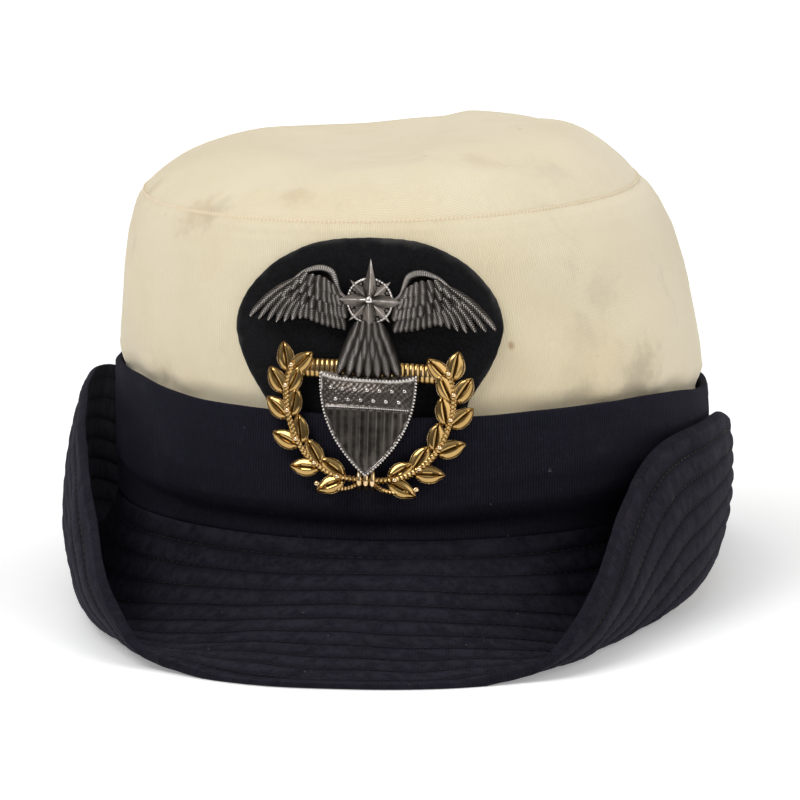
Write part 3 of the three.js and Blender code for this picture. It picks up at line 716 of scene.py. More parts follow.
# Stitch rows on both faces of the brim: each face has its thread just above the groove.
def makeBrimStitches(upperThread, underThread):
    parts, upper, lower = brimFaces(anglesRound(seamPoints))
    stitch = stitchShape(brim["stitchLength"], brim["stitchRadius"])
    sides = [("brimStitchesUpper", upper, gridNormals(upper), upperThread)]
    sides.append(("brimStitchesUnder", lower, -gridNormals(lower), underThread))
    for name, face, normal, material in sides:
        columns = [int(np.argmin(np.abs(parts - part))) for part in stitchParts()]
        shape = together([stitchesAlong(face[:, column], normal[:, column], stitch) for column in columns])
        shape["points"][:, 2] = np.maximum(shape["points"][:, 2], 0)
        makePiece(name, shape, material)


# felt tab behind the badge: its middle, how finely it is drawn, and its fringe
backing = {
    "thick": 2.0,
    "centreX": -1.3,
    "middle": 78.0,
    "around": 220,
    "rings": 26,
    "fray": 0.05,
}
# half-width and height of the outline, from the top down to the foot behind the band
backingOutline = np.array([
    [0, 105.4], [8.5, 104.9], [16, 103.2], [25.0, 98.3], [31.8, 90.8], [34.5, 83.5],
    [33.8, 77.5], [31.2, 71], [27.8, 65.5], [25.8, 61], [24, 46],
])


# A smooth line through points: between two of them a cubic whose end slopes are half the
# difference of the neighbours on either side.
def smoothLine(points, count):
    points = np.asarray(points, float)
    padded = np.vstack([2 * points[0] - points[1], points, 2 * points[-1] - points[-2]])
    at = np.linspace(0, len(points) - 1, count)
    row = np.minimum(at.astype(int), len(points) - 2)
    return cubic(points, (padded[2:] - padded[:-2]) / 2, row, (at - row)[:, None])


# A closed line of points set out again at even steps of its length.
def evenly(points, count):
    closed = np.vstack([points, points[:1]])
    lengths = lengthsAlong(closed)
    at = np.linspace(0, lengths[-1], count, endpoint=False)
    return valuesAt(at, lengths, closed)


# A point in front of the crown at a width x and a height, moved out by out: the angle is found by
# stepping towards the width, a few times over.
def beforeCrown(x, heights, out):
    angles = np.degrees(np.arcsin(np.clip(x / head["halfWidth"], -0.99, 0.99)))
    for turn in range(12):
        points = crownAt(angles, heights)
        angles = angles + np.degrees((x - points[:, 0]) / head["halfWidth"])
    return crownAt(angles, heights) + np.asarray(out)[..., None] * ovalNormal(angles)


# The crown's front at an angle and a height: straight below the band's edge, the side above it.
def crownAt(angles, heights):
    foot = readRound(wallRows, angles)[:, 0] - crown["bandTuck"]
    part = np.clip((heights - foot) / (crownTopSeam(angles)[:, 2] - foot), 0, 1)
    points = crownSide(angles, part, paired=True)
    points[:, 2] = np.where(heights < foot, heights, points[:, 2])
    return points


# The felt: rings from its middle out to a frayed outline, laid on the crown's front at the gap, with
# a front face that stands off by the thickness, dented by products of sines and rounded at its edge.
def makeBacking(material):
    right = smoothLine(backingOutline, 90)
    outline = evenly(np.vstack([right, right[::-1] * [-1, 1]]), backing["around"])
    turn = turnsRound(backing["around"])
    ragged = np.sin(41 * turn) * np.sin(17 * turn + 1) + 0.6 * np.sin(73 * turn + 2)
    parts = np.concatenate([np.linspace(0.04, 0.9, backing["rings"] - 10), np.linspace(0.925, 1, 10)])
    middle = np.array([0, backing["middle"]])
    spread = outline - middle
    spread = spread + unit(spread) * (backing["fray"] * ragged)[:, None]
    flat = middle + spread[:, None] * parts[None, :, None]
    x, z = flat[..., 0] + backing["centreX"], flat[..., 1]
    edge = np.clip((parts - 0.965) / 0.035, 0, 1)
    dents = 0.10 * np.sin(x * 0.31 + 1) * np.sin(z * 0.23) + 0.05 * np.sin(x * 1.1 + z * 0.9)
    frontOut = head["gap"] + backing["thick"] * (0.22 + 0.78 * np.sqrt(1 - edge ** 2))[None] + dents
    front = beforeCrown(x.ravel(), z.ravel(), frontOut.ravel()).reshape(x.shape + (3,))
    back = beforeCrown(x.ravel(), z.ravel(), np.full(x.size, head["gap"] + 0.05)).reshape(x.shape + (3,))
    section = np.concatenate([front, back[:, ::-1]], 1)
    marks = np.concatenate([parts, parts[::-1]])
    cloth = np.concatenate([flat, flat[:, ::-1]], 1) * 0.001
    cloth = np.concatenate([cloth, cloth[:1]], 0)
    cloth = np.concatenate([cloth, cloth[:, -1:]], 1)
    makePiece("feltBacking", skin(section, "poles", cloth, marks), material, "badge_backing")


# The badge is drawn flat: x across to the wearer's left, y up and z out of the hat. It is then
# skewed a little, curved round the forehead, tilted and leaned back.
badge = {
    "place": np.array([0.25, -102.45, 72.0]),
    "lean": 12.5,
    "tilt": -2.6,
    "skew": 0.042,
    "bend": 82.0,
    "silverBack": 1.7,
    "postEnd": -11.85,
    "postRadius": 1.7,
    "postTip": 1.3,
    "barbPitch": 0.6,
}


# Skews by x - skew y, bends by z - x^2 / 2r, turns by the tilt in the badge's own plane, then
# leans it back.
def badgePlace(shape, straight=False):
    x, y, z = shape["points"].T
    if not straight:
        x = x - badge["skew"] * y
        z = z - x * x / (2 * badge["bend"])
    tilt, lean = np.radians(badge["tilt"]), np.radians(90 - badge["lean"])
    x, y = x * np.cos(tilt) - y * np.sin(tilt), x * np.sin(tilt) + y * np.cos(tilt)
    y, z = y * np.cos(lean) - z * np.sin(lean), y * np.sin(lean) + z * np.cos(lean)
    return {**shape, "points": pointsOf(x, y, z) + badge["place"]}


# The same shape on the other side of the badge, with its faces turned round.
def mirrored(shape):
    turned = {name: shape[name][:, ::-1] for name in ("quads", "quadCloth", "fans", "fanCloth")}
    return {**shape, **turned, "points": shape["points"] * [-1, 1, 1]}


# Points of a flat leaf: part t of the way from root to tip, moved sideways. Also gives its length.
def fromRoot(root, tip, t, sideways):
    root, tip = np.asarray(root, float), np.asarray(tip, float)
    length = np.linalg.norm(tip - root)
    ahead = (tip - root) / length
    side = np.array([-ahead[1], ahead[0]])
    x, y = np.moveaxis(root + ahead * (t * length)[..., None] + side * sideways[..., None], -1, 0)
    return x, y, length


# A feather from root to tip. At part t along it the half-width is width * outline(t), its middle
# line bows sideways by bow sin(pi t), and its top is an arch with a raised shaft. The mark is high
# on the shaft and the arch and low at the edges. The grain counts the barbs, which slant outwards.
def feather(root, tip, width, base, rise, bow=0.0, shaft=0.2, along=14):
    t = np.linspace(0.015, 0.985, along)[None]
    turn = np.concatenate([np.linspace(0, np.pi, 13), np.pi + np.radians([40, 90, 140])])[:, None]
    across, over = np.cos(turn), np.sin(turn)
    half = width * (0.62 + 0.38 * smoothStep(0, 0.35, t)) * (1 - t ** 6) ** 0.5
    half = half * np.minimum(1, (t / 0.06) ** 0.5)
    end = np.minimum(1, np.minimum(t, 1 - t) / 0.1) ** 0.5
    body = rise * np.maximum(over, 0) ** 0.7 + shaft * bell(across, 0, 0.16) * (1 - 0.7 * t)
    z = base + np.where(over > 1e-6, body * (0.4 + 0.6 * end), 0.0)
    x, y, length = fromRoot(root, tip, t, across * half + bow * np.sin(np.pi * t))
    marks = 0.40 + 0.42 * bell(across, 0, 0.2) - 0.62 * np.abs(across) ** 3 + 0.22 * smoothStep(0.6, 1, t)
    marks = np.clip(np.where(over > 1e-6, marks, 0.0), 0, 1)
    barbs = (t * length - 0.9 * np.abs(across) * half) / badge["barbPitch"]
    return skin(pointsOf(x, y, z), "poles", None, marks, barbs)


# A row of feathers between two curves: each root on one, each tip on the other. step lifts each
# feather a little above the last.
def featherRow(roots, tips, count, width, base, rise, step=0.0, **shape):
    ends = zip(smoothLine(roots, count), smoothLine(tips, count), np.linspace(*width, count))
    return [feather(start, end, wide, base + step * k, rise, **shape)
            for k, (start, end, wide) in enumerate(ends)]


# Two axes across a line: one in the badge's plane, and one out of it.
def axesAcross(line):
    ahead = unit(np.gradient(line, axis=0))
    side = unit(np.cross(ahead, [0, 0, 1.0]))
    return side, np.cross(side, ahead)


# A round bar along a line of points, with a radius for each point and closed ends. Its section
# turns with the line: one side axis lies in the badge's plane. twist counts turns of the grain
# for each millimetre, like the strands of a cord.
def tube(line, radius, sides, mark, twist=0.0):
    radius = np.broadcast_to(np.asarray(radius, float), len(line))
    side, out = axesAcross(line)
    turn = (turnsRound(sides) - np.pi / 2)[:, None]
    around = np.cos(turn)[..., None] * side + np.sin(turn)[..., None] * out
    # The mark is higher on the outward side than beneath: on the gold this paints light on the top and shade
    # underneath.
    marks = np.clip(mark * (0.35 + 0.65 * np.sin(turn)), 0, 1)
    grain = lengthsAlong(line) * twist + turn / (2 * np.pi) * (twist > 0)
    return skin(line + radius[:, None] * around, "poles", None, marks, grain)


# A twisted cord: strands that wind round a line, each offset by a turning amount.
def rope(line, radius, pitch, strands=2, mark=0.75):
    lengths = lengthsAlong(line)
    at = np.linspace(0, lengths[-1], int(lengths[-1] / pitch * 10))
    middle = valuesAt(at, lengths, line)
    side, out = axesAcross(middle)
    shapes = []
    for strand in range(strands):
        turn = (2 * np.pi * (at / pitch + strand / strands))[:, None]
        strandLine = middle + 0.5 * radius * (np.cos(turn) * side + np.sin(turn) * out)
        shapes.append(tube(strandLine, 0.62 * radius, 6, mark))
    return together(shapes)


# A ball of few faces, for beads and berries.
def ball(radius, flat=1.0, mark=0.9):
    rise = np.radians([-60, -25, 10, 40, 68])
    turn = turnsRound(8)[:, None]
    grid = pointsOf(np.cos(turn) * np.cos(rise), np.sin(turn) * np.cos(rise), flat * np.sin(rise)) * radius
    # The mark rises from the underside to the top: on the gold this paints light on the top and shade
    # underneath.
    return skin(grid, "poles", None, mark * (0.25 + 0.75 * (np.sin(rise) + 1) / 2))


def ballsAt(places, radius, flat=1.0, mark=0.9):
    places = np.asarray(places, float)
    return copies(ball(radius, flat, mark), places, np.broadcast_to(np.eye(3), (len(places), 3, 3)))


# Where the star and its disc sit, the disc's size and what is on it.
starDisc = {"centreY": 17.7, "radius": 6.2, "studs": 44, "scaleRows": 4, "scalePitch": 1.15}


# Points at a radius round the star's centre, at a level.
def ringOf(radius, turn, level):
    return pointsOf(radius * np.cos(turn), starDisc["centreY"] + radius * np.sin(turn), level)


# A star of raised facets: ridges run from the peak to the points and valleys to the waists.
def facetStar(points, reach, waist, base, edge, peak, turned=0.0):
    corners = np.arange(points * 2)
    turn = (np.pi * corners / points + turned)[:, None]
    radius = np.where(corners % 2 == 0, reach, waist)[:, None] * np.array([1, 1, 0.66, 0.33, 0.02])
    height = base + edge * np.array([0, 1, 0.66, 0.33, 0.02]) + peak * np.array([0, 0, 0.34, 0.67, 0.98])
    ridge = np.where(corners % 2 == 0, 1.0, 0.2)[:, None]
    marks = np.clip(ridge * np.array([0.2, 0.75, 0.7, 0.75, 0.9]), 0, 1)
    return skin(ringOf(radius, np.pi / 2 - turn, height), "poles", None, marks)


shield = {
    "halfWidth": 12.9,
    "top": -0.8,
    "bottom": -27.8,
    "dip": 1.6,
    "chief": 0.345,
    "stripes": 11,
    "beads": 100,
    "beadRadius": 0.36,
    "studRadius": 0.62,
    "studRows": ((0.135, 9.6, 7), (0.265, 8.2, 6)),  # share down, how far they reach across, how many
    "dome": 0.8,
    "frameInset": 1.3,
    "beadInset": 0.42,
    "barHalfLength": 10.6,
    "barBeads": 36,
    "columns": 113,
}


# Half-width of the shield at a share of its height from the top: it falls ever faster to the point.
def shieldHalf(down):
    return shield["halfWidth"] * np.maximum(1 - down ** 2.4, 0) ** 0.95


# Height of the shield at a share down and across: even steps, with a hollow in the top edge that
# fades out above the bar.
def shieldHeight(down, across):
    hollow = shield["dip"] * (1 - np.abs(across) ** 4) * smoothStep(shield["chief"], 0, down)
    return shield["top"] + (shield["bottom"] - shield["top"]) * down - hollow


# How far the shield's middle stands out across it: dome (1 - (x / half-width)^2).
def shieldDome(x):
    return shield["dome"] * (1 - (x / shield["halfWidth"]) ** 2)


# Face of the shield: a low dome with a narrow rim, a pebbled upper part, a bar under it, and low
# stripes below: tanh(3 cos) across. How far inward a point lies tells the rim from the middle.
def shieldFace(under):
    atTop = [0.0, 0.004, 0.012, 0.022, 0.034, 0.05]
    down = np.concatenate([atTop, np.linspace(0.07, 0.93, 72), np.linspace(0.94, 0.996, 10)])
    half = shieldHalf(down)
    across = np.concatenate([np.linspace(1, -1, shield["columns"]), [-0.6, 0, 0.6]])[:, None]
    top = (np.arange(len(across)) < shield["columns"])[:, None]
    x, y = across * half[None], shieldHeight(down[None], across)
    slope = np.abs(np.gradient(half, shieldHeight(down, 1.0)))
    fromSide = (half[None] - np.abs(x)) / np.sqrt(1 + slope ** 2)[None]
    inward = np.minimum(fromSide, (down * (shield["top"] - shield["bottom"]))[None])
    inside = smoothStep(1.0, 1.5, inward)
    rim = 0.5 * smoothStep(0, 0.2, inward) * smoothStep(1.15, 0.8, inward)
    dome = shieldDome(x) * smoothStep(0, 5, inward)
    bar = 0.45 * bell(y, under, 0.30) * inside
    stripePitch = 2 * (shield["halfWidth"] - shield["frameInset"]) / shield["stripes"]
    stripe = np.tanh(3 * np.cos(2 * np.pi * x / stripePitch)) * inside
    stripe = stripe * smoothStep(under - 0.5, under - 0.9, y)
    pebble = np.sin(x * 4.1 + np.sin(y * 1.7)) * np.sin(y * 4.3 + np.sin(x * 1.3))
    pebble = pebble * smoothStep(under + 0.5, under + 0.9, y) * inside
    body = 1.9 * smoothStep(-0.1, 0.4, inward) + rim + dome + bar + 0.09 * stripe + 0.09 * pebble
    chief = smoothStep(under, under + 0.4, y)
    marks = np.clip(0.31 + 0.9 * rim + 1.3 * bar + 0.06 * stripe + 0.06 * chief + 0.12 * pebble, 0, 1) * top
    return skin(pointsOf(x, y, badge["silverBack"] + body * top), "poles", None, marks)


# The shield: its face, beads all round its rim, beads along its bar and two rows of studs above it.
def makeShield():
    under = shield["top"] + (shield["bottom"] - shield["top"]) * shield["chief"]
    back, inset = badge["silverBack"], shield["beadInset"]
    side = np.linspace(0.004, 0.99, 120)
    line = np.stack([shieldHalf(side) - inset, shieldHeight(side, 1.0) - 0.3 * (1 - side)], -1)
    edge = np.linspace(-0.97, 0.97, 60)
    upper = np.stack([edge * (shield["halfWidth"] - inset), shieldHeight(0, edge) - inset], -1)
    x, y = evenly(np.vstack([upper[:-1], line, line[::-1] * [-1, 1]]), shield["beads"]).T
    rimBeads = ballsAt(pointsOf(x, y, back + 2.15 + 0.12 * shieldDome(x)), shield["beadRadius"], 0.9, 1.0)
    x = np.linspace(-shield["barHalfLength"], shield["barHalfLength"], shield["barBeads"])
    barBeads = ballsAt(pointsOf(x, under, back + 2.35 + shieldDome(x)), 0.27, 0.9, 0.95)
    shapes = [shieldFace(under), rimBeads, barBeads]
    for down, reach, count in shield["studRows"]:
        x = np.linspace(-reach, reach, count)
        y = shieldHeight(down, x / shield["halfWidth"])
        shapes.append(ballsAt(pointsOf(x, y, back + 2.0 + shieldDome(x)), shield["studRadius"], 0.62, 0.85))
    return shapes


# rows of feathers: curves of roots and tips, how many, half-widths, base height, rise, sideways bow,
# the step up from one feather to the next, height of the shaft, and how finely a long one is drawn
wingRows = [
    {"roots": [(7.6, 15.4), (11.5, 16.6), (16.0, 18.4)], "tips": [(6.4, 9.9), (11.6, 10.7), (17.0, 12.3)],
     "count": 8, "width": (1.15, 1.2), "base": 0.2, "rise": 0.9, "bow": 0.25, "step": 0.05},
    {"roots": [(15.2, 18.2), (17.6, 20.6), (19.6, 22.9)], "tips": [(18.6, 12.3), (25.0, 11.2), (32.4, 12.4)],
     "count": 7, "width": (1.5, 1.15), "base": 0.35, "rise": 1.2, "bow": 0.9, "step": 0.08, "along": 24},
    {"roots": [(7.0, 17.2), (11.6, 19.4), (19.4, 21.6)], "tips": [(6.3, 12.8), (12.2, 13.8), (23.4, 18.0)],
     "count": 10, "width": (1.3, 1.3), "base": 1.2, "rise": 0.9, "bow": 0.3, "step": 0.02},
    {"roots": [(8.6, 19.4), (12.4, 21.6), (18.0, 23.0)], "tips": [(7.5, 15.9), (12.8, 17.0), (20.8, 19.8)],
     "count": 8, "width": (1.3, 1.3), "base": 1.85, "rise": 0.85, "bow": 0.2, "step": 0.02},
    {"roots": [(9.8, 21.6), (12.6, 23.6), (16.6, 24.2)], "tips": [(8.9, 18.7), (12.8, 19.8), (18.6, 21.4)],
     "count": 6, "width": (1.25, 1.25), "base": 2.35, "rise": 0.75, "bow": 0.1, "step": 0.02},
]
tailRows = [
    {"roots": [(-3.4, 11.0), (0, 11.8), (3.4, 11.0)], "tips": [(-7.9, -1.6), (0, -2.6), (7.9, -1.6)],
     "count": 7, "width": (1.6, 1.6), "base": 0.5, "rise": 1.5, "along": 20, "shaft": 0.3},
    {"roots": [(-3.2, 11.6), (0, 12.2), (3.2, 11.6)], "tips": [(-5.9, 3.6), (0, 2.4), (5.9, 3.6)],
     "count": 6, "width": (1.3, 1.3), "base": 1.5, "rise": 1.0, "along": 14},
    {"roots": [(-2.8, 12.2), (0, 12.6), (2.8, 12.2)], "tips": [(-4.2, 7.6), (0, 6.8), (4.2, 7.6)],
     "count": 5, "width": (1.15, 1.15), "base": 2.1, "rise": 0.8, "along": 12},
]
# the wing's rounded leading edge, with its radius and height along it, and the edges of its thin plate
wing = {
    "front": [(4.4, 18.9), (6.0, 18.1), (8.1, 19.8), (9.1, 22.6), (10.3, 24.7), (13.2, 25.6),
              (16.9, 24.7), (20.2, 22.5), (24.6, 18.8)],
    "radius": ([0, 0.2, 0.45, 0.6, 0.8, 1], [0.45, 0.55, 0.95, 0.95, 0.7, 0.2]),
    "height": ([0, 0.4, 0.7, 1], [1.6, 2.3, 2.0, 1.3]),
    "lead": [(4.6, 18.2), (6.2, 17.6), (8.6, 20.4), (10.4, 24.2), (13.4, 25.0), (19.6, 22.2), (28.4, 15.2)],
    "trail": [(4.6, 13.6), (6.6, 12.0), (10.6, 12.4), (15.0, 13.6), (19.0, 14.2), (24.0, 13.4), (28.8, 13.4)],
    "plateHeight": 0.9,
}


# All the feathers of a list of rows.
def manyFeathers(rows):
    shapes = []
    for row in rows:
        shapes += featherRow(**{**row, "base": badge["silverBack"] + row["base"]})
    return shapes


# One wing: short and long flight feathers, three rows of coverts, and a rounded leading edge, on
# a thin plate that fills the gaps.
def makeWing():
    back = badge["silverBack"]
    shapes = manyFeathers(wingRows)
    along = np.linspace(0, 1, 60)
    edge = np.column_stack([smoothLine(wing["front"], 60), back + np.interp(along, *wing["height"])])
    shapes.append(tube(edge, np.interp(along, *wing["radius"]), 12, 0.72, 1.8))
    lead, trail = smoothLine(wing["lead"], 34), smoothLine(wing["trail"], 34)
    share = np.concatenate([np.linspace(0, 1, 8), np.linspace(1, 0, 8)])[:, None, None]
    flat = lead * (1 - share) + trail * share
    level = back + wing["plateHeight"] * (np.arange(16) < 8)[:, None]
    shapes.append(skin(pointsOf(flat[..., 0], flat[..., 1], level), "poles", None, 0.02))
    return together(shapes)


# The round boss behind the star: a dished disc with a raised rim of studs and rings of small scales.
def makeBoss():
    back, size = badge["silverBack"], starDisc["radius"]
    disc = np.array([0.98, 1.0, 0.97, 0.9, 0.84, 0.5, 0.05]) * size
    level = back + np.array([0, 1.2, 1.9, 2.1, 1.6, 2.0, 2.2])
    marks = np.array([0, 0.3, 0.7, 0.8, 0.15, 0.2, 0.2])
    shapes = [skin(ringOf(disc, turnsRound(48)[:, None], level), "poles", None, marks)]
    rim = ringOf(0.93 * size, turnsRound(starDisc["studs"]), back + 2.05)
    shapes.append(ballsAt(rim, 0.36, 0.9, 1.0))
    for row in range(starDisc["scaleRows"]):
        radius = size * (0.80 - 0.17 * row)
        count = int(2 * np.pi * radius / starDisc["scalePitch"])
        turn = (np.arange(count) + 0.5 * (row % 2)) * 2 * np.pi / count
        shapes.append(ballsAt(ringOf(radius, turn, back + 1.78 + 0.13 * row), 0.52, 0.7, 0.55))
    return shapes


# The silver part: two wings, the boss with two stars and a ball on it, the tail, the shield and the
# screw post behind, which is a straight bar.
def makeSilver(material):
    back = badge["silverBack"]
    wingShape = makeWing()
    shapes = [wingShape, mirrored(wingShape)] + makeBoss()
    shapes.append(facetStar(4, 7.4, 2.5, back + 1.5, 0.5, 1.9, np.pi / 4))
    shapes.append(facetStar(4, 10.9, 2.9, back + 1.7, 0.6, 2.4))
    shapes.append(ballsAt([(0, starDisc["centreY"], back + 4.1)], 1.0, 0.7, 1.0))
    placed = badgePlace(together(shapes + manyFeathers(tailRows) + makeShield()))
    turn = turnsRound(16)[:, None]
    radius = np.full(8, badge["postRadius"])
    radius[0] = badge["postTip"]
    level = np.linspace(badge["postEnd"], back + 0.6, 8)
    post = pointsOf(radius * np.cos(turn), radius * np.sin(turn), level)
    screw = badgePlace(skin(post, "poles", None, 0.4), straight=True)
    makePiece("badgeSilver", together([placed, screw]), material, "badge_silver", sharp=38)


wreath = {
    "branch": [(0, -28.6), (9, -27.4), (16.8, -21.6), (21, -12.5), (21.8, -4.5), (20, 1.5)],
    "pairs": 6,
    "leafLength": 9.0,
    "leafHalfWidth": 2.6,
    "splay": 0.5,
    "rise": 1.5,
    "stemRadius": 0.8,
    "barHalfLength": 20.0,
    "barHalfWidth": 2.6,
    "barRibPitch": 1.3,
    "stemLevel": 1.35,
    "stemPitch": 2.2,
    "berryRadius": 0.78,
    "berryAhead": 2.6,
    "tieX": (-1.7, 0.0, 1.7),
    "tieRadius": 0.78,
    "tail": [(1.0, -28.8), (4.4, -30.8), (8.4, -31.2), (12.6, -30.2)],
    "leafSpread": [1, 0.97, 0.92, 0.86, 0.79, 0.7, 0.55, 0.38, 0.2, 0.09],
}


# A laurel leaf: two polished swells either side of a sunk midrib, inside a raised milled border.
# Across it, from -1 to 1, the height is rise sqrt(1 - a^2) less a groove in the middle plus a rim.
def leaf(root, tip, width, base, rise, lift=0.4):
    t = np.linspace(0.01, 0.99, 20)[None]
    spread = np.array(wreath["leafSpread"])
    across = np.concatenate([spread, [0], -spread[::-1], [-0.5, 0.5]])[:, None]
    top, away = (np.arange(len(across)) < 21)[:, None], np.abs(across)
    x, y, length = fromRoot(root, tip, t, across * width * np.sin(np.pi * t ** 0.88) ** 0.8)
    ends = np.minimum(1, np.minimum(t, 1 - t) / 0.16) ** 0.6
    swell = rise * np.sqrt(np.maximum(1 - across ** 2, 0)) * (1 - 0.42 * bell(across, 0, 0.13))
    border = 0.42 * bell(away, 0.90, 0.075)
    z = base + top * (0.25 + (swell * 0.95 + border) * ends + lift * t ** 1.5)
    # The mark is low in the groove inside the border and along the midrib, and high on the border: on the
    # gold this is painted shade in the hollows and a painted highlight on the raised border.
    marks = 0.62 - 0.75 * bell(away, 0.79, 0.06) - 0.5 * bell(across, 0, 0.07) + 0.3 * bell(away, 0.9, 0.06)
    milling = t * length / 0.62 * smoothStep(0.82, 0.88, away) * top
    return skin(pointsOf(x, y, z), "poles", None, np.clip(marks * top, 0, 1), milling)


# One side of the wreath: a twisted stem with pairs of leaves and a berry at each pair.
def makeBranch():
    stem = smoothLine(wreath["branch"], 160)
    ahead = unit(np.gradient(stem, axis=0))
    cord = np.column_stack([stem, np.full(160, wreath["stemLevel"])])
    shapes = [rope(cord, wreath["stemRadius"], wreath["stemPitch"])]
    for pair in range(wreath["pairs"]):
        at = int((pair + 0.7) / (wreath["pairs"] + 0.5) * 159)
        base = 0.15 + 0.04 * pair
        for splay in (-wreath["splay"], wreath["splay"]):
            turn = np.array([[np.cos(splay), -np.sin(splay)], [np.sin(splay), np.cos(splay)]])
            heading = turn @ ahead[at]
            root, tip = stem[at] + heading * 0.6, stem[at] + heading * wreath["leafLength"]
            shapes.append(leaf(root, tip, wreath["leafHalfWidth"], base, wreath["rise"]))
        x, y = stem[at] + ahead[at] * wreath["berryAhead"]
        shapes.append(ballsAt([(x, y, 2.1)], wreath["berryRadius"], 0.9, 1.0))
    return together(shapes)


# The ribbed bar across the back: a half-round section whose ribs go as |sin| along it.
def makeRibbedBar():
    bar = np.linspace(-wreath["barHalfLength"], wreath["barHalfLength"], 240)
    ribs = 0.75 + 0.25 * np.abs(np.sin(np.pi * bar / wreath["barRibPitch"]))
    turn = np.concatenate([np.linspace(0, np.pi, 9), np.pi + np.radians([60, 120])])[:, None]
    over = np.maximum(np.sin(turn), 0)
    width = wreath["barHalfWidth"] * np.cos(turn) * (0.94 + 0.06 * ribs)
    # The mark is high on the tops of the ribs and low between them and on the sides: painted highlight and
    # painted shade on the gold.
    marks = np.clip(over * (3.4 * ribs - 2.5), 0.05, 1)
    return skin(pointsOf(bar, width, over * 1.1 * ribs + 0.2), "poles", None, marks)


# The gold part: both branches, the bar, three loops that tie the stems and the cord's two tails.
def makeGold(material):
    half = makeBranch()
    whole = [half, mirrored(half), makeRibbedBar()]
    loop = np.linspace(-0.2, np.pi + 0.2, 16)
    for tieX in wreath["tieX"]:
        line = pointsOf(tieX, -28.3 + 2.3 * np.cos(loop), 0.3 + 1.7 * np.sin(loop))
        whole.append(tube(line, wreath["tieRadius"], 8, 0.9))
    tail = smoothLine(wreath["tail"], 50)
    for side in (-1, 1):
        whole.append(rope(pointsOf(side * tail[:, 0], tail[:, 1], np.linspace(1.4, 0.9, 50)), 0.62, 1.8))
        whole.append(ballsAt([(side * 12.9, -30.1, 0.95)], 0.9, 0.9, 0.9))
    makePiece("badgeGold", badgePlace(together(whole)), material, "badge_gold", sharp=50)


# Adds a node to a tree with its settings, and sets or links its inputs by name or number.
def addNode(tree, kind, inputs=None, **settings):
    node = tree.nodes.new(kind)
    for name, value in settings.items():
        setattr(node, name, value)
    for name, value in (inputs or {}).items():
        if isinstance(value, bpy.types.NodeSocket):
            tree.links.new(value, node.inputs[name])
        else:
            node.inputs[name].default_value = value
    return node


def maths(tree, operation, a, b=0.0, clamp=False):
    return addNode(tree, "ShaderNodeMath", {0: a, 1: b}, operation=operation, use_clamp=clamp).outputs[0]


def times(tree, a, b):
    return maths(tree, "MULTIPLY", a, b)


def plus(tree, a, b, clamp=False):
    return maths(tree, "ADD", a, b, clamp)


# One colour where the amount is 0 and the other where it is 1.
def mixColour(tree, amount, a, b):
    return addNode(tree, "ShaderNodeMix", {0: amount, 6: a, 7: b}, data_type="RGBA").outputs[2]


# Lays a colour over another, as much as mask times strength.
def lay(tree, under, mask, strength, over):
    return mixColour(tree, times(tree, mask, strength), under, over)


# A smooth step that goes from toLow to toHigh as the value goes from low to high.
def spread(tree, value, low, high, toLow=0.0, toHigh=1.0):
    inputs = {0: value, 1: low, 2: high, 3: toLow, 4: toHigh}
    return addNode(tree, "ShaderNodeMapRange", inputs, interpolation_type="SMOOTHSTEP").outputs[0]


def noise(tree, vector, scale, detail=2.0, rough=0.5, distortion=0.0):
    inputs = {"Vector": vector, "Scale": scale, "Detail": detail, "Roughness": rough}
    return addNode(tree, "ShaderNodeTexNoise", {**inputs, "Distortion": distortion}).outputs["Fac"]


# (value - 0.5) size, so that the noise goes both up and down.
def swing(tree, value, size):
    return times(tree, maths(tree, "SUBTRACT", value, 0.5), size)


# The sine of a number of whole turns.
def sineOf(tree, turns):
    return maths(tree, "SINE", times(tree, turns, 6.2832))


# The number that a piece's points carry under this name.
def carried(tree, name):
    return addNode(tree, "ShaderNodeAttribute", attribute_name=name).outputs["Fac"]


# A new group of nodes with named inputs, numbers or vectors, and named numbers that it puts out.
def newGroup(name, inputs, outputs):
    tree = bpy.data.node_groups.new(name, "ShaderNodeTree")
    for label, value in inputs.items():
        kind = "NodeSocketFloat" if isinstance(value, float) else "NodeSocketVector"
        socket = tree.interface.new_socket(name=label, in_out="INPUT", socket_type=kind)
        if value is not None:
            socket.default_value = value
    for label in outputs:
        tree.interface.new_socket(name=label, in_out="OUTPUT", socket_type="NodeSocketFloat")
    return tree, tree.nodes.new("NodeGroupInput").outputs, tree.nodes.new("NodeGroupOutput").inputs


# Ribbed twill: fine ribs across the cloth's first direction, cut by a steeper twill line, broken up
# by noise so that no two ribs are quite alike. Height and Shade are 0 between ribs and 1 on them.
def ribbedWeave():
    inputs = {"Cloth": None, "Rib Pitch": 0.00075, "Twill Pitch": 0.0006, "Unevenness": 0.5}
    tree, given, result = newGroup("ribbedWeave", inputs, ["Height", "Shade"])
    cloth = given["Cloth"]
    parts = addNode(tree, "ShaderNodeSeparateXYZ", {0: cloth}).outputs
    stray = times(tree, given["Rib Pitch"], given["Unevenness"])
    wander = swing(tree, noise(tree, cloth, 90.0, 3.0, 0.6), stray)
    rib = sineOf(tree, maths(tree, "DIVIDE", plus(tree, parts[0], wander), given["Rib Pitch"]))
    slant = plus(tree, parts[1], times(tree, parts[0], 0.55))
    twill = sineOf(tree, maths(tree, "DIVIDE", slant, given["Twill Pitch"]))
    both = plus(tree, times(tree, rib, 0.36), times(tree, twill, 0.16))
    fibres = swing(tree, noise(tree, cloth, 3800.0, 2.0, 0.7), 0.5)
    height = plus(tree, plus(tree, both, 0.5), fibres, clamp=True)
    patches = swing(tree, noise(tree, cloth, 700.0, 3.0, 0.7), 0.7)
    tree.links.new(height, result["Height"])
    tree.links.new(plus(tree, height, patches, clamp=True), result["Shade"])
    return tree


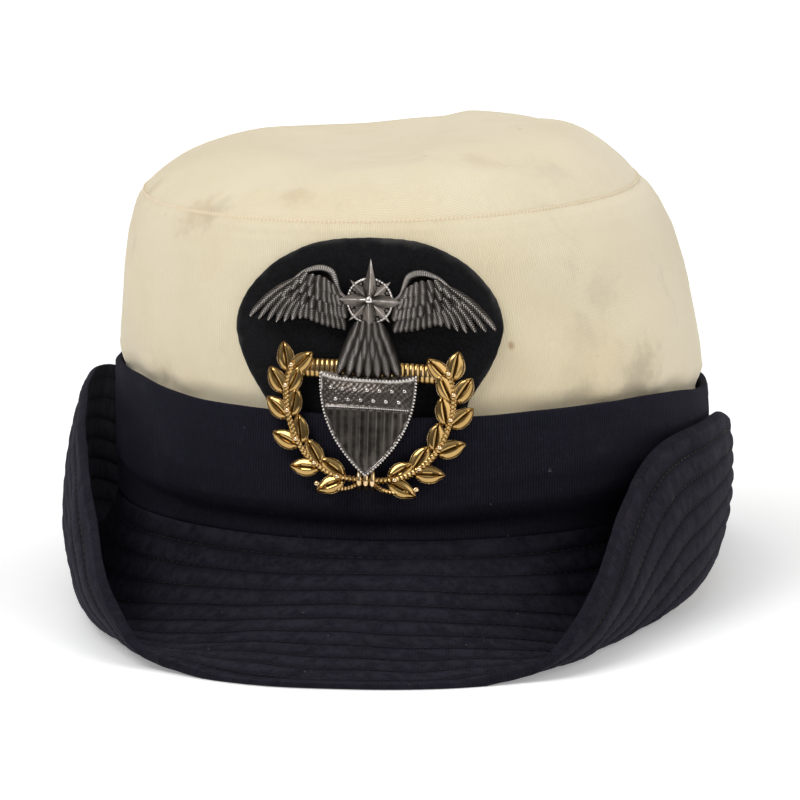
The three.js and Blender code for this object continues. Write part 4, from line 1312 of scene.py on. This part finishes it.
# Lint and specks: small round or stretched dots scattered at random. Mask is 1 on a speck.
def scatteredSpecks():
    inputs = {"Vector": None, "Scale": 90.0, "Size": 0.12, "Share": 0.2}
    tree, given, result = newGroup("scatteredSpecks", inputs, ["Mask"])
    place, size = given["Vector"], given["Size"]
    bent = noise(tree, place, 900.0, 2.0, 0.6)
    bends = {k: times(tree, bent, bend) for k, bend in enumerate((0.0012, -0.0009, 0.0006))}
    shift = addNode(tree, "ShaderNodeCombineXYZ", bends).outputs[0]
    moved = addNode(tree, "ShaderNodeVectorMath", {0: place, 1: shift}, operation="ADD").outputs[0]
    inputs = {"Vector": moved, "Scale": given["Scale"], "Randomness": 1.0}
    cell = addNode(tree, "ShaderNodeTexVoronoi", inputs).outputs
    near = maths(tree, "LESS_THAN", cell["Distance"], size)
    soft = spread(tree, cell["Distance"], size, times(tree, size, 0.4))
    pick = addNode(tree, "ShaderNodeSeparateColor", {0: cell["Color"]}).outputs[0]
    chosen = maths(tree, "LESS_THAN", pick, given["Share"])
    tree.links.new(times(tree, times(tree, near, soft), chosen), result["Mask"])
    return tree


# A soft stain with a ragged edge round a point: 1 at the centre, 0 beyond the radius.
def softStain():
    inputs = {"Vector": None, "Centre": (0, 0, 0), "Radius": 0.01, "Grain": 90.0, "Raggedness": 0.6}
    tree, given, result = newGroup("softStain", inputs, ["Mask"])
    ends = {0: given["Vector"], 1: given["Centre"]}
    away = addNode(tree, "ShaderNodeVectorMath", ends, operation="DISTANCE").outputs["Value"]
    ratio = maths(tree, "DIVIDE", away, given["Radius"])
    ragged = swing(tree, noise(tree, given["Vector"], given["Grain"], 4.0, 0.65), given["Raggedness"])
    edge = plus(tree, ratio, times(tree, ragged, 2.0))
    tree.links.new(spread(tree, edge, 1.0, 0.0), result["Mask"])
    return tree


# Fine barbs, milling and twists cut into the metal: a wave that runs once for each whole step of
# the piece's grain. Wave is 0 in a cut and 1 between two.
def milledGrain():
    tree, given, result = newGroup("milledGrain", {"Grain": 0.0}, ["Wave"])
    wave = times(tree, sineOf(tree, given["Grain"]), 0.5)
    tree.links.new(plus(tree, wave, 0.5), result["Wave"])
    return tree


groups = {
    "weave": ribbedWeave(),
    "specks": scatteredSpecks(),
    "stain": softStain(),
    "milled": milledGrain(),
}


def useGroup(tree, name, inputs):
    return addNode(tree, "ShaderNodeGroup", inputs, node_tree=groups[name]).outputs


# The cloth's weave, on the piece's own cloth coordinates.
def weaveOf(tree, look):
    inputs = {"Cloth": addNode(tree, "ShaderNodeUVMap", uv_map="cloth").outputs[0]}
    inputs.update({"Rib Pitch": look["ribPitch"], "Twill Pitch": look["twillPitch"]})
    return useGroup(tree, "weave", {**inputs, "Unevenness": look["unevenness"]})


# The wave of the cuts or stitches that the piece's grain counts.
def cutsOf(tree):
    return useGroup(tree, "milled", {"Grain": carried(tree, "grain")})["Wave"]


# Lays each of the look's kinds of specks: scale, size, share, strength and colour.
def laySpecks(tree, place, colour, look):
    for scale, size, share, strength, over in look["specks"]:
        inputs = {"Vector": place, "Scale": scale, "Size": size, "Share": share}
        colour = lay(tree, colour, useGroup(tree, "specks", inputs)["Mask"], strength, look[over])
    return colour


# Lays each of the look's kinds of patches: scale, detail, roughness and distortion of the noise, the
# levels where a patch begins and is full, strength and colour.
def layPatches(tree, place, colour, look):
    for scale, detail, rough, distortion, low, high, strength, over in look["patches"]:
        mask = spread(tree, noise(tree, place, scale, detail, rough, distortion), low, high)
        colour = lay(tree, colour, mask, strength, look[over])
    return colour


# A new material, its tree, and the object coordinates that its patterns use.
def newMaterial(name, constants):
    material = bpy.data.materials.new(name)
    material.use_nodes = True
    tree = material.node_tree
    for label, value in constants.items():
        tree.nodes["Principled BSDF"].inputs[label].default_value = value
    return material, tree, addNode(tree, "ShaderNodeTexCoord").outputs["Object"]


# Joins the colour, the roughness and a chain of bumps, each with a height, its depth and strength.
def finishMaterial(material, colour, roughness, bumps):
    tree, before = material.node_tree, {}
    for height, distance, strength in bumps:
        inputs = {"Height": height, "Distance": distance, "Strength": strength, **before}
        before = {"Normal": addNode(tree, "ShaderNodeBump", inputs).outputs[0]}
    for label, value in {"Base Color": colour, "Roughness": roughness, **before}.items():
        tree.links.new(value, tree.nodes["Principled BSDF"].inputs[label])
    return material


creamLook = {
    "pale": (0.800, 0.711, 0.520, 1),
    "warm": (0.700, 0.580, 0.373, 1),
    "between": (0.600, 0.503, 0.331, 1),
    "grey": (0.360, 0.300, 0.216, 1),
    "brown": (0.420, 0.261, 0.120, 1),
    "pink": (0.780, 0.600, 0.405, 1),
    "ribPitch": 0.00078,
    "twillPitch": 0.00052,
    "unevenness": 0.5,
    "specks": [(85.0, 0.10, 0.16, 0.55, "brown")],
    "patches": [(42.0, 5.0, 0.7, 0.6, 0.60, 0.78, 0.22, "grey")],
    "stained": 0.3,
}

# centre x y z and radius in millimetres in the hat's frame, grain, raggedness, strength, colour
creamStains = [
    [(-47, -61, 109), 9, 160, 1.2, 1.0, "brown"],
    [(-41, -64, 111), 6, 200, 1.2, 0.8, "grey"],
    [(-20, -70, 115), 6, 180, 1.2, 0.8, "brown"],
    [(-28, -68, 114), 10, 90, 1.0, 0.6, "warm"],
    [(-66, -24, 112), 6, 160, 1.0, 0.7, "brown"],
    [(27, -47, 123), 8, 130, 1.2, 0.6, "brown"],
    [(44, -43, 120), 10, 130, 1.2, 0.6, "grey"],
    [(58, -25, 117), 8, 120, 1.2, 0.6, "warm"],
    [(12, -57, 122), 16, 70, 1.1, 0.4, "warm"],
    [(60, -56, 89), 9, 150, 1.2, 0.6, "grey"],
    [(57, -65, 78), 8, 160, 1.2, 0.7, "grey"],
    [(71, -50, 63), 15, 120, 1.2, 1.8, "grey"],
    [(55, -70, 62), 9, 140, 1.2, 1.4, "grey"],
    [(38.5, -80, 77), 1.6, 300, 0.6, 2.6, "brown"],
    [(62, -58, 58), 30, 45, 0.8, 1.1, "warm"],
    [(-60, -62, 62), 11, 140, 1.2, 1.5, "grey"],
    [(-60, -62, 58), 28, 45, 0.8, 1.0, "warm"],
    [(-70, -39, 83), 14, 90, 1.1, 0.6, "warm"],
]


# Undyed ribbed cloth: clouded, stained and speckled, with pale and pink thread along its seam.
def creamCloth():
    look = creamLook
    constants = {"Sheen Weight": 0.25, "Sheen Roughness": 0.5, "Specular IOR Level": 0.25}
    material, tree, place = newMaterial("creamCloth", constants)
    weave = weaveOf(tree, look)
    cloudy = spread(tree, noise(tree, place, 14.0, 4.0, 0.6), 0.35, 0.75)
    colour = mixColour(tree, 0.72, look["pale"], mixColour(tree, cloudy, look["pale"], look["warm"]))
    colour = lay(tree, colour, spread(tree, weave["Shade"], 0.75, 0.1), 0.33, look["between"])
    for centre, radius, grain, ragged, strength, tint in creamStains:
        inputs = {"Centre": tuple(0.001 * value for value in centre), "Radius": radius * 0.001}
        inputs.update({"Vector": place, "Grain": float(grain), "Raggedness": ragged})
        mask = useGroup(tree, "stain", inputs)["Mask"]
        colour = lay(tree, colour, mask, strength * look["stained"], look[tint])
    threads = mixColour(tree, spread(tree, cutsOf(tree), 0.35, 0.65), look["pale"], look["pink"])
    colour = lay(tree, colour, carried(tree, "mark"), 0.8, threads)
    colour = laySpecks(tree, place, colour, look)
    colour = layPatches(tree, place, colour, look)
    rough = spread(tree, weave["Shade"], 0.0, 1.0, 0.95, 0.82)
    bumps = [(noise(tree, place, 60.0, 4.0, 0.6), 0.0006, 0.5), (weave["Height"], 0.00012, 0.7)]
    return finishMaterial(material, colour, rough, bumps)


navyLook = {
    "deep": (0.0052, 0.0050, 0.0088, 1),
    "rib": (0.0125, 0.0120, 0.0195, 1),
    "wool": (0.0150, 0.0136, 0.0245, 1),
    "worn": (0.0190, 0.0180, 0.0270, 1),
    "shadow": (0.0016, 0.0016, 0.0024, 1),
    "rubbedAndLit": (0.0255, 0.0232, 0.0330, 1),
    "lint": (0.20, 0.19, 0.18, 1),
    "dust": (0.045, 0.041, 0.036, 1),
    "ribPitch": 0.00082,
    "twillPitch": 0.0006,
    "unevenness": 0.8,
    "specks": [(62.0, 0.055, 0.14, 1.0, "lint"), (260.0, 0.09, 0.12, 0.4, "lint")],
    "patches": [
        (800.0, 4.0, 0.75, 0.0, 0.42, 0.72, 0.55, "wool"),
        (28.0, 5.0, 0.65, 0.4, 0.52, 0.75, 0.4, "worn"),
    ],
}


# The band's ribbed cloth and the brim's duller, woollier one: ribs says how much the weave shows, and
# dusty how much dust lies on it. The mark is the painted shadow in the band's crease, or, on the brim,
# how high a place stands between the stitch rows: there the grooves get painted shade, and the ridges
# are painted lighter, partly as rubbed wear and partly as painted light.
def navyCloth(name, ribs, dusty):
    look = navyLook
    constants = {"Sheen Weight": 0.03, "Sheen Roughness": 0.4, "Sheen Tint": (0.55, 0.5, 0.85, 1)}
    material, tree, place = newMaterial(name, {**constants, "Specular IOR Level": 0.1})
    weave = weaveOf(tree, look)
    colour = lay(tree, look["deep"], spread(tree, weave["Shade"], 0.2, 0.9), ribs, look["rib"])
    colour = layPatches(tree, place, colour, look)
    dust = spread(tree, noise(tree, place, 120.0, 5.0, 0.75), 0.56, 0.78)
    colour = lay(tree, colour, dust, dusty, look["dust"])
    shade = carried(tree, "mark")
    if ribs > 0.5:
        colour = lay(tree, colour, shade, 0.8, look["shadow"])
    else:
        bare = spread(tree, noise(tree, place, 260.0, 5.0, 0.75), 0.36, 0.62)
        # Ridges painted lighter where the noise allows: partly rubbed wear, partly painted light.
        rubbedAndLit = times(tree, spread(tree, shade, 0.3, 1.0), bare)
        colour = lay(tree, colour, rubbedAndLit, 0.62, look["rubbedAndLit"])
        # Painted shade in the grooves along the stitch rows and on the ledge under the band.
        colour = mixColour(tree, spread(tree, shade, 0.5, 0.0, 0.0, 0.6), colour, look["shadow"])
    colour = laySpecks(tree, place, colour, look)
    rough = spread(tree, weave["Shade"], 0.0, 1.0, 0.97, 0.86)
    rumples, fuzz = noise(tree, place, 70.0, 4.0, 0.6), noise(tree, place, 1400.0, 3.0, 0.7)
    bumps = [(rumples, 0.0005, 0.5), (weave["Height"], 0.00014, 0.7 * ribs), (fuzz, 0.00025, 0.5)]
    return finishMaterial(material, colour, rough, bumps)


feltLook = {
    "black": (0.0042, 0.0042, 0.0050, 1),
    "fibre": (0.016, 0.016, 0.018, 1),
    "worn": (0.075, 0.072, 0.068, 1),
    "specks": [(130.0, 0.07, 0.2, 0.6, "worn")],
}


# Felt: tangled fibres, worn pale along its edge, where the mark comes to 1.
def blackFelt():
    look = feltLook
    constants = {"Sheen Weight": 0.04, "Sheen Roughness": 0.5, "Specular IOR Level": 0.1}
    material, tree, place = newMaterial("blackFelt", constants)
    fibres = noise(tree, place, 1500.0, 4.0, 0.75, 1.5)
    colour = mixColour(tree, spread(tree, fibres, 0.4, 0.75), look["black"], look["fibre"])
    fringe = swing(tree, noise(tree, place, 220.0, 4.0, 0.7), 0.12)
    ragged = plus(tree, carried(tree, "mark"), fringe)
    patchy = spread(tree, noise(tree, place, 60.0, 3.0), 0.35, 0.65)
    worn = times(tree, spread(tree, ragged, 0.93, 1.02), patchy)
    colour = laySpecks(tree, place, lay(tree, colour, worn, 0.7, look["worn"]), look)
    rough = spread(tree, fibres, 0.0, 1.0, 0.9, 1.0)
    return finishMaterial(material, colour, rough, [(fibres, 0.0003, 0.8)])


threadLook = {
    "navy": {"dark": (0.006, 0.006, 0.009, 1), "light": (0.020, 0.019, 0.024, 1)},
    "olive": {"dark": (0.014, 0.012, 0.012, 1), "light": (0.040, 0.031, 0.021, 1)},
}


# Sewing thread: two near-black tones in slow patches, and a fine twist.
def darkThread(shade):
    look = threadLook[shade]
    material, tree, place = newMaterial(shade + "Thread", {"Sheen Weight": 0.05, "Specular IOR Level": 0.2})
    tone = spread(tree, noise(tree, place, 35.0, 4.0, 0.7), 0.4, 0.65)
    twist = noise(tree, place, 2600.0, 2.0, 0.6)
    rough = spread(tree, twist, 0.0, 1.0, 0.7, 0.95)
    colour = mixColour(tree, tone, look["dark"], look["light"])
    return finishMaterial(material, colour, rough, [(twist, 0.0001, 0.6)])


# aged metals: colours of the low, middle and high places, the levels where the last two begin and are
# full, noise of the patches and the scratches, and depth and strength of the cuts and scratches
metalLook = {
    "oxidisedSilver": {
        "dark": (0.014, 0.012, 0.010, 1),
        "mid": (0.16, 0.138, 0.122, 1),
        "bright": (0.74, 0.69, 0.65, 1),
        "midLevels": (0.12, 0.5),
        "brightLevels": (0.55, 0.95),
        "rough": (0.1, 0.9, 0.40, 0.16),
        "patches": (300.0, 5.0, 0.65),
        "patchy": 0.45,
        "darkCuts": 0.5,
        "scratches": (1900.0, 3.0, 0.7),
        "cutBump": (0.00030, 1.0),
        "scratchBump": (0.00004, 0.5),
    },
    # The gold's dark colour in its low places is partly painted shade, and its bright colour on raised places
    # is partly painted highlight.
    "wornGoldPaintedLight": {
        "dark": (0.055, 0.027, 0.008, 1),
        "mid": (0.50, 0.32, 0.115, 1),
        "bright": (0.92, 0.70, 0.43, 1),
        "midLevels": (0.12, 0.6),
        "brightLevels": (0.6, 0.98),
        "rough": (0.0, 0.7, 0.42, 0.13),
        "patches": (210.0, 4.0, 0.6),
        "patchy": 0.4,
        "darkCuts": 0.3,
        "scratches": (1500.0, 3.0, 0.6),
        "cutBump": (0.00010, 0.8),
        "scratchBump": (0.00002, 0.3),
    },
}


# Dark in the low places and bright on the high ones: the level is mark + patches + cuts. On the silver
# the dark is oxide in its hollows. On the gold the dark is partly painted shade and the bright is partly
# painted highlight.
def agedMetal(name):
    look = metalLook[name]
    material, tree, place = newMaterial(name, {"Metallic": 1.0})
    cuts, scratches = cutsOf(tree), noise(tree, place, *look["scratches"])
    patches = swing(tree, noise(tree, place, *look["patches"]), look["patchy"])
    level = plus(tree, carried(tree, "mark"), patches)
    level = plus(tree, level, swing(tree, cuts, look["darkCuts"]))
    colour = mixColour(tree, spread(tree, level, *look["midLevels"]), look["dark"], look["mid"])
    colour = mixColour(tree, spread(tree, level, *look["brightLevels"]), colour, look["bright"])
    bumps = [(cuts, *look["cutBump"]), (scratches, *look["scratchBump"])]
    return finishMaterial(material, colour, spread(tree, level, *look["rough"]), bumps)


# Brass with dull brown patches.
def plainBrass():
    material, tree, place = newMaterial("plainBrass", {"Metallic": 1.0})
    dull = noise(tree, place, 320.0, 5.0, 0.65)
    colour = mixColour(tree, spread(tree, dull, 0.35, 0.7), (0.55, 0.38, 0.16, 1), (0.22, 0.13, 0.05, 1))
    rough = spread(tree, dull, 0.3, 0.7, 0.32, 0.6)
    return finishMaterial(material, colour, rough, [(noise(tree, place, 2500.0, 2.0), 0.00004, 0.5)])


# where the camera looks, how far it stands in metres, its angles in degrees and its lens
view = {
    "target": Vector((0.00004, 0.00623, 0.050)),
    "distance": 1.100,
    "azimuth": 6.0,
    "elevation": 8.0,
    "lens": 173.25,
}


def makeCamera():
    turn, rise = np.radians(view["azimuth"]), np.radians(view["elevation"])
    back = Vector((np.sin(turn) * np.cos(rise), -np.cos(turn) * np.cos(rise), np.sin(rise)))
    data = bpy.data.cameras.new("camera")
    data.lens, data.sensor_width, data.clip_start = view["lens"], 36.0, 0.01
    camera = bpy.data.objects.new("camera", data)
    camera.location = view["target"] + back * view["distance"]
    camera.rotation_euler = (-back).to_track_quat("-Z", "Y").to_euler()
    scene.collection.objects.link(camera)
    scene.camera = camera


lights = {
    "above": 0.40,  # the light from all round: overhead, and level with the hat in front
    "front": 0.12,
    "floor": 6.0,  # half the floor's width, in metres
    "glowFrom": 0.1,  # the floor glows from here backwards, in metres, like a white sweep
    "glowTo": 2.2,
    "key": {"place": (-0.7, -0.9, 1.3), "size": 0.9, "power": 13.0},
    "fill": {"place": (1.1, -0.8, 0.7), "size": 1.2, "power": 6.0},
    "top": {"place": (0.0, 0.4, 1.5), "size": 1.4, "power": 7.5},
}


def makeLight(name):
    data = bpy.data.lights.new(name, "AREA")
    data.shape, data.size, data.energy = "SQUARE", lights[name]["size"], lights[name]["power"]
    light = bpy.data.objects.new(name, data)
    light.location = lights[name]["place"]
    light.rotation_euler = (Vector((0, 0, 0.06)) - light.location).to_track_quat("-Z", "Y").to_euler()
    scene.collection.objects.link(light)


def makeStudio():
    far = lights["floor"]
    mesh = bpy.data.meshes.new("floor")
    mesh.from_pydata([(-far, -far, 0), (far, -far, 0), (far, far, 0), (-far, far, 0)], [], [(0, 1, 2, 3)])
    material, tree, place = newMaterial("paleFloor", {"Specular IOR Level": 0.1, "Emission Strength": 1.0})
    colour = mixColour(tree, noise(tree, place, 6.0, 3.0), (0.90, 0.90, 0.90, 1), (0.93, 0.93, 0.93, 1))
    depth = addNode(tree, "ShaderNodeSeparateXYZ", {0: place}).outputs[1]
    behind = spread(tree, depth, lights["glowFrom"], lights["glowTo"])
    # The floor also glows faintly near the hat, which pales the hat's shadow on it: painted light.
    glow = mixColour(tree, behind, (0.26, 0.26, 0.26, 1), (0.85, 0.85, 0.85, 1))
    tree.links.new(glow, tree.nodes["Principled BSDF"].inputs["Emission Color"])
    mesh.materials.append(finishMaterial(material, colour, noise(tree, place, 3.0), []))
    floor = bpy.data.objects.new("floor", mesh)
    scene.collection.objects.link(floor)
    world = bpy.data.worlds.new("studio")
    world.use_nodes = True
    sky = world.node_tree
    way = addNode(sky, "ShaderNodeTexCoord").outputs["Generated"]
    way = addNode(sky, "ShaderNodeSeparateXYZ", {0: way}).outputs
    rise = plus(sky, times(sky, way[1], 0.5), maths(sky, "ABSOLUTE", way[2]))
    sky.nodes["Background"].inputs[0].default_value = (1, 1, 1, 1)
    level = spread(sky, rise, -0.35, 0.35, lights["front"], lights["above"])
    sky.links.new(level, sky.nodes["Background"].inputs[1])
    scene.world = world
    for name in ("key", "fill", "top"):
        makeLight(name)
    scene.view_settings.view_transform = "Standard"


makeCamera()
makeStudio()
print("studio ready")

cream, felt = creamCloth(), blackFelt()
bandCloth, brimCloth = navyCloth("navyRibbed", 1.0, 0.25), navyCloth("navyWool", 0.35, 0.45)
makeCrownSide(cream)
makeCrownTip(cream)
makeBand(bandCloth)
makeBrim(brimCloth)
makeBrimStitches(darkThread("navy"), darkThread("olive"))
makeBacking(felt)
print("cloth pieces ready")

makeSilver(agedMetal("oxidisedSilver"))
makeGold(agedMetal("wornGoldPaintedLight"))
print("badge ready")

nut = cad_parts["badge_nut"]
brass = plainBrass()
for index in range(len(nut.material_slots)):
    nut.material_slots[index].material = brass
